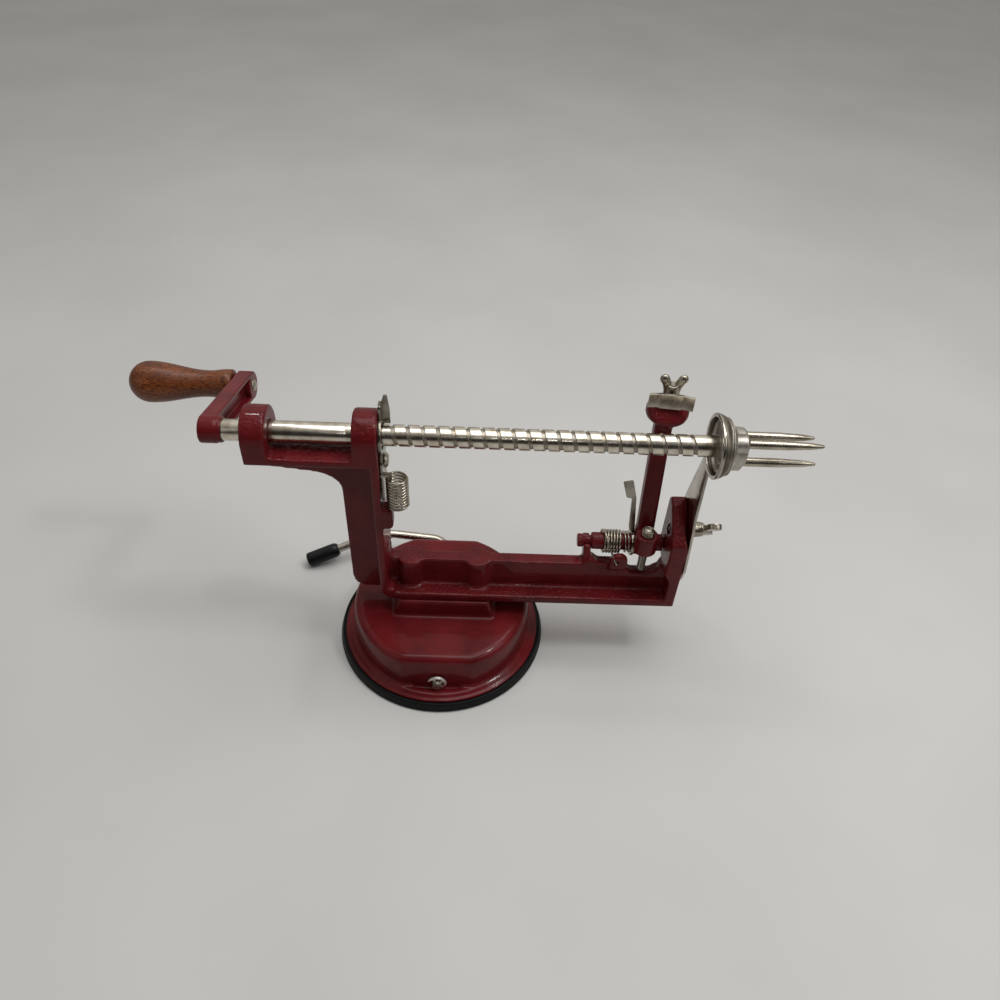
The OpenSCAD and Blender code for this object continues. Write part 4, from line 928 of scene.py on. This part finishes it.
def cut_off(mesh, at, towards):
    """The part of a mesh that lies beyond a plane, closed where it was cut."""
    form = as_form(mesh)
    whole = form.verts[:] + form.edges[:] + form.faces[:]
    cut = bmesh.ops.bisect_plane(form, geom=whole, plane_co=at, plane_no=towards, clear_inner=True)
    rim = [part for part in cut["geom_cut"] if isinstance(part, bmesh.types.BMEdge)]
    bmesh.ops.holes_fill(form, edges=rim)
    return form


# The catch's stem and tab in millimetres, as X and height over the arm's axis. The eye below them is
# the solid's.
catch_half = 0.6
catch_tilt = math.radians(8)
catch_eye_top = 70.3 * MM
catch_face = rounded([(91.5, 4.8), (92.7, 4.8), (92.8, 8), (91.2, 26.4), (88.7, 35.6), (84.1, 34.4),
                      (86.6, 26.2), (89.2, 26), (89.9, 8.4), (91.5, 6.4)], 0.9)
stem = prism(catch_face, -catch_half, catch_half)
stem_place = Matrix.Translation((0, arm_axis[0] * MM, arm_axis[1] * MM))
stem_turn = Matrix.Rotation(math.pi / 2 - catch_tilt, 4, "X")
bmesh.ops.transform(stem, matrix=stem_place @ stem_turn, verts=stem.verts)
eye = cut_off(eased("arm_catch", 0.18), (0, arm_axis[0] * MM, catch_eye_top), (0, 0, -1))
catch = piece("thumb_catch", joined(eye, stem), spring_steel)
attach(catch, "catch")
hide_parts("arm_catch")

catch_low, catch_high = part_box("catch_spring")
catch_wire = 0.7 * MM
catch_coil_r = 5.1 * MM
catch_start = (catch_low.x + catch_wire / 2, arm_axis[0] * MM, arm_axis[1] * MM)
catch_len = catch_high.x - catch_low.x - catch_wire
catch_curls = coil(catch_start, (1, 0, 0), (0, 0, -1), catch_coil_r, catch_len, curls=2, closed=0.1)
catch_spring = wire("catch_coil", catch_curls, catch_wire, nickel, sides=12)
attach(catch_spring, "arm")
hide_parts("catch_spring")


# DEPTH SCREW
# A steel screw with a small round head in the arm's front lug. Its tip meets the rail and sets how
# deep the knife cuts; a small coil under its head keeps it from turning.

def threaded(radius, length, lead, depth):
    """A rod with a V thread that stands on the origin along Z; the thread fades at both ends."""
    around = 40
    per_lead = 10
    rows = round(length / lead * per_lead)
    form = bmesh.new()
    rings = []
    for row in range(rows + 1):
        height = length * row / rows
        chamfer = max(0, 1 - height / lead, 1 - (length - height) / lead)
        ring = []
        for k in range(around):
            angle = 2 * math.pi * k / around
            flank = abs(2 * ((height / lead - k / around) % 1) - 1)
            here = radius - depth * max(flank, chamfer)
            ring.append(form.verts.new((here * math.cos(angle), here * math.sin(angle), height)))
        rings.append(ring)
    for low, high in zip(rings, rings[1:]):
        for k in range(around):
            form.faces.new((low[k], low[(k + 1) % around], high[(k + 1) % around], high[k]))
    form.faces.new(rings[0][::-1])
    form.faces.new(rings[-1])
    return form


depth_low, depth_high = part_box("depth_spring")
depth_axis = ((depth_low.x + depth_high.x) / 2, (depth_low.y + depth_high.y) / 2)
screw_r = 2 * MM
screw_lead = 0.9 * MM
screw_thread = 0.3 * MM
head_z = 78.4 * MM
shank_in_head = 0.4 * MM
tip_longer = 2.6 * MM
tip_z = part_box("depth_screw")[0].z - tip_longer
shank_l = head_z + shank_in_head - tip_z
shank = aim(threaded(screw_r, shank_l, screw_lead, screw_thread), (*depth_axis, tip_z), (0, 0, 1))
head_outline = rounded([(0, 0), (screw_r, 0), (screw_r, 1.1 * MM), (0.6 * screw_r, 1.5 * MM),
                        (0, 1.6 * MM)], 0.3 * MM)
head = aim(lathe(head_outline, 40), (*depth_axis, head_z), (0, 0, 1))
depth_screw = piece("depth_screw_body", joined(head, shank), plain_steel)
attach(depth_screw, "depth")
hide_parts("depth_screw")

# The coil stands on the raised lug, and its last curl lies round the screw's head.
depth_wire = 0.75 * MM
depth_coil_r = 2.5 * MM
foot_sunk = 0.2 * MM
up_the_head = 0.9 * MM
depth_foot = (*depth_axis, depth_low.z + lug_rise * MM - foot_sunk)
depth_len = head_z + up_the_head - depth_foot[2]
depth_curls = coil(depth_foot, (0, 0, 1), (1, 0, 0), depth_coil_r, depth_len, curls=4, closed=0.4)
depth_spring = wire("depth_coil", depth_curls, depth_wire, nickel, sides=12)
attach(depth_spring, "arm")
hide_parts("depth_spring")


# PEELING KNIFE, STUD AND WING NUT
# A strip of blade steel bent into three flats stands on the arm's head. A threaded stud in the head
# and a plated wing nut clamp it.

blade_steel = bright_steel("ground_blade_steel", "#bab4aa", "#9f998f", 0.14, 0.3, 0.5, stretch=(1, 1, 0.1))
# The strip in millimetres, from the stud's axis.
sheet = 1.2
knife_half = 9.9
knife_front = -5.4
knife_sweep = 1.1
knife_low = head_top + 0.7
knife_high = head_top + 7.6
floor_front = knife_front + 0.2
floor_back = 3.4
askew = math.radians(-7)
folds = [(-knife_half, knife_front - knife_sweep), (-knife_half / 2, knife_front),
         (knife_half / 2, knife_front), (knife_half, knife_front - knife_sweep)]
strip_plan = folds + [(x, y + sheet) for x, y in folds[::-1]]
floor_plan = [(-knife_half / 2, floor_front), (knife_half / 2, floor_front), (knife_half / 2, floor_back),
              (-knife_half / 2, floor_back)]
strip = joined(prism(strip_plan, knife_low, knife_high), prism(floor_plan, head_top, head_top + sheet))
knife_place = Matrix.Translation((knife_axis[0] * MM, knife_axis[1] * MM, 0))
bmesh.ops.transform(strip, matrix=knife_place @ Matrix.Rotation(askew, 4, "Z"), verts=strip.verts)
knife = piece("peeling_knife", broken_edges("knife_strip", strip, 0.08), blade_steel, sharp_deg=8)
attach(knife, "arm")
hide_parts("peel_blade")

knife_stud_low, knife_stud_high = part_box("blade_stud")
knife_stud_r = (knife_stud_high.x - knife_stud_low.x) / 2
knife_stud_top = head_top + 9.9
knife_stud_l = knife_stud_top * MM - knife_stud_low.z
knife_stud_foot = (knife_axis[0] * MM, knife_axis[1] * MM, knife_stud_low.z)
knife_lead = 0.8 * MM
knife_thread = 0.25 * MM
knife_rod = threaded(knife_stud_r, knife_stud_l, knife_lead, knife_thread)
knife_stud = piece("knife_stud", aim(knife_rod, knife_stud_foot, (0, 0, 1)), plain_steel)
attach(knife_stud, "arm")
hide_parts("blade_stud")

# The nut in millimetres over its foot: the hub's profile, and the ears' run and thickness.
nut_foot_r = 3.3
nut_skirt = (3.4, 0.5)
nut_shoulder = (2.6, 8.2)
nut_top_r = 2.4
nut_h = 8.4
ear_root = (1.9, 1.8)
ear_run = (2.2, 9.4)
ear_r = 1.8
ear_swell = 0.35
ear_flat = 0.75
ear_steps = 14


def wing_nut(foot):
    """A tapered hub with a clear bore and two long ears that rise from its sides in a V."""
    bore = knife_stud_r / MM
    profile = [(bore, 0), (nut_foot_r, 0), nut_skirt, nut_shoulder, (nut_top_r, nut_h), (bore, nut_h),
               (bore, 0)]
    form = lathe([(radius * MM, height * MM) for radius, height in profile], 32)
    for side in (-1, 1):
        for step in range(ear_steps + 1):
            t = step / ear_steps
            out = side * (ear_root[0] + ear_run[0] * t ** 3)
            place = Matrix.Translation((out * MM, 0, (ear_root[1] + ear_run[1] * t) * MM))
            radius = (ear_r + ear_swell * t * t) * MM
            ear = bmesh.new()
            bmesh.ops.create_uvsphere(ear, u_segments=20, v_segments=12, radius=radius,
                                      matrix=place @ Matrix.Diagonal((1, ear_flat, 1, 1)))
            form = joined(form, ear)
    bmesh.ops.translate(form, verts=form.verts, vec=foot)
    return form


nut_gap = 0.05 * MM
nut_foot = (knife_axis[0] * MM, knife_axis[1] * MM, (head_top + sheet) * MM + nut_gap)
knife_nut_mesh = softened("knife_nut_soft", wing_nut(nut_foot), cell_mm=0.2, passes=3)
knife_nut = piece("knife_wing_nut", knife_nut_mesh, nickel, sharp_deg=180)
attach(knife_nut, "knife_nut")
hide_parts("peel_wing_nut")


# SLICING BLADE, CORER RING AND THEIR BOLT
# A flat blade of polished steel outside the right upright, with a short sharpened tube brazed round
# its eye. A round-headed bolt and a wing nut hold it, so it can be taken off.

# In millimetres: how far the blade stands out at its ring, the heights between which the solid bends
# and this sheet leans instead, and where the front edge is drawn in to make it straight.
blade_lean = 2
solid_bend = (92, 102)
even_lean = (90, 116)
front_drawn_in = 1.1
front_from = (54, 62)
front_to = (110, 117)
front_zone = (-9, -1)
blade_cuts = range(54, 120, 2)


def straight_blade(x, y, z):
    """The blade leans evenly out to its ring instead of bending, and its front edge is straight."""
    x += blade_lean * (even_step(*even_lean, z) - even_step(*solid_bend, z))
    along = smooth_step(*front_from, z) * (1 - smooth_step(*front_to, z))
    return x, y + front_drawn_in * along * (1 - smooth_step(*front_zone, y)), z


def sliced(mesh, heights_mm):
    """A mesh with extra points where level planes cut it."""
    form = as_form(mesh)
    for height in heights_mm:
        whole = form.verts[:] + form.edges[:] + form.faces[:]
        bmesh.ops.bisect_plane(form, geom=whole, plane_co=(0, 0, height * MM), plane_no=(0, 0, 1))
    return as_mesh("sliced", form)


blade_mesh = sliced(eased("slicing_blade", 0.25), blade_cuts)
slicer = piece("slicing_blade_sheet", reshaped(blade_mesh, straight_blade), blade_steel)
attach(slicer, "frame")
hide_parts("slicing_blade")

tube_steel = bright_steel("brazed_tube_steel", "#7b7368", "#4c453c", 0.34, 0.52, 0.6, stretch=(0.2, 1, 1))
corer = piece("corer_tube", eased("corer_ring", 0.15), tube_steel)
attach(corer, "frame")
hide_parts("corer_ring")

bolt_low, bolt_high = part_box("blade_bolt")
bolt_axis = ((bolt_low.y + bolt_high.y) / 2, (bolt_low.z + bolt_high.z) / 2)
bolt_r = 2.5 * MM
bolt_neck = bolt_low.x + 2.4 * MM
bolt_under_head = bolt_neck - 0.3 * MM
bolt_head_out = 1.6 * MM
bolt_thread = threaded(bolt_r, bolt_high.x - bolt_neck, screw_lead, screw_thread)
bolt_shank = aim(bolt_thread, (bolt_neck, *bolt_axis), (1, 0, 0))
bolt_head = cut_off(eased("blade_bolt", 0.25), (bolt_under_head, *bolt_axis), (-1, 0, 0))
bmesh.ops.translate(bolt_head, verts=bolt_head.verts, vec=(-bolt_head_out, 0, 0))
bolt = piece("blade_bolt_body", joined(bolt_head, bolt_shank), nickel)
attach(bolt, "frame")
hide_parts("blade_bolt")

blade_nut_mesh = softened("nut_soft", copy_of("blade_wing_nut"), cell_mm=0.25, passes=5)
blade_nut = piece("blade_nut_casting", blade_nut_mesh, nickel, sharp_deg=180)
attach(blade_nut, "blade_nut")
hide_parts("blade_wing_nut")


# TABLE, LIGHT AND CAMERA
# A pale matt table under soft light from above, and a camera at the photograph's place and angle.

# Pale matt laminate: an even light grey with faint slow clouds.
pale_table, tree, shader, place = new_finish("pale_matt_table")
cloud = add(tree, "ShaderNodeTexNoise", {"Vector": place, "Scale": grain(160), "Detail": 3.0})
pale = add(tree, "ShaderNodeValToRGB", {"Fac": cloud.outputs["Fac"]}, ((0.35, "#b9b8b6"), (0.65, "#bfbebc")))
plug(tree, shader, {"Base Color": pale.outputs["Color"], "Roughness": 0.75})
table_half = 3.0
table_mesh = bpy.data.meshes.new("table")
table_corners = [(x * table_half, y * table_half, 0) for x, y in ((-1, -1), (1, -1), (1, 1), (-1, 1))]
table_mesh.from_pydata(table_corners, [], [(0, 1, 2, 3)])
table = piece("table", table_mesh, pale_table)

# The room is bright overhead and behind the part, and dark low down in front of it.
world = bpy.data.worlds.new("soft_room")
bpy.context.scene.world = world
world.use_nodes = True
tree = world.node_tree
tree.nodes.clear()
bright_side = (0, 0.5, 0.8)
way = add(tree, "ShaderNodeTexCoord").outputs["Generated"]
lean = add(tree, "ShaderNodeVectorMath", {0: way, 1: bright_side}, operation="DOT_PRODUCT")
walls = add(tree, "ShaderNodeValToRGB", {"Fac": lean.outputs["Value"]},
            ((0.1, "#2e2c2a"), (0.85, "#fbf8f2")))
room = add(tree, "ShaderNodeBackground", {"Color": walls.outputs["Color"], "Strength": 0.7})
add(tree, "ShaderNodeOutputWorld", {"Surface": room.outputs["Background"]})

# Square soft lights that face the part: name, watts, side and place, in metres.
lit_point = Vector((0, 0, 0.08))
lights = [("overhead_light", 4.8, 0.7, (0.15, 0.1, 1.0)), ("right_light", 1.5, 0.5, (0.8, -0.35, 0.65)),
          ("left_light", 0.6, 0.6, (-0.8, -0.5, 0.5)), ("right_window", 1.1, 0.1, (0.45, -0.06, 0.82)),
          ("left_window", 0.4, 0.05, (-0.3, 0.3, 0.9)), ("front_window", 0.2, 0.04, (0.1, -0.7, 0.75))]
for name, watts, side, where in lights:
    lamp = bpy.data.lights.new(name, "AREA")
    lamp.energy = watts
    lamp.size = side
    box = bpy.data.objects.new(name, lamp)
    box.location = where
    box.rotation_euler = (lit_point - Vector(where)).to_track_quat("-Z", "Y").to_euler()
    bpy.context.scene.collection.objects.link(box)

# The camera as it was fitted to the photograph, with its place in millimetres and its angles in degrees.
camera_at = Vector((18.774, -267.044, 342.532)) * MM
camera_pan, camera_tilt, camera_roll = [math.radians(angle) for angle in (-1.80, 47.01, 3.09)]
lens = bpy.data.cameras.new("photo_camera")
lens.sensor_width = 36
lens.lens = 28.836
lens.clip_start = 0.01
camera = bpy.data.objects.new("photo_camera", lens)
camera.matrix_world = (Matrix.Translation(camera_at) @ Matrix.Rotation(camera_pan, 4, "Z")
                       @ Matrix.Rotation(camera_tilt, 4, "X") @ Matrix.Rotation(camera_roll, 4, "Z"))
bpy.context.scene.collection.objects.link(camera)
bpy.context.scene.camera = camera
bpy.context.scene.view_settings.view_transform = "Standard"
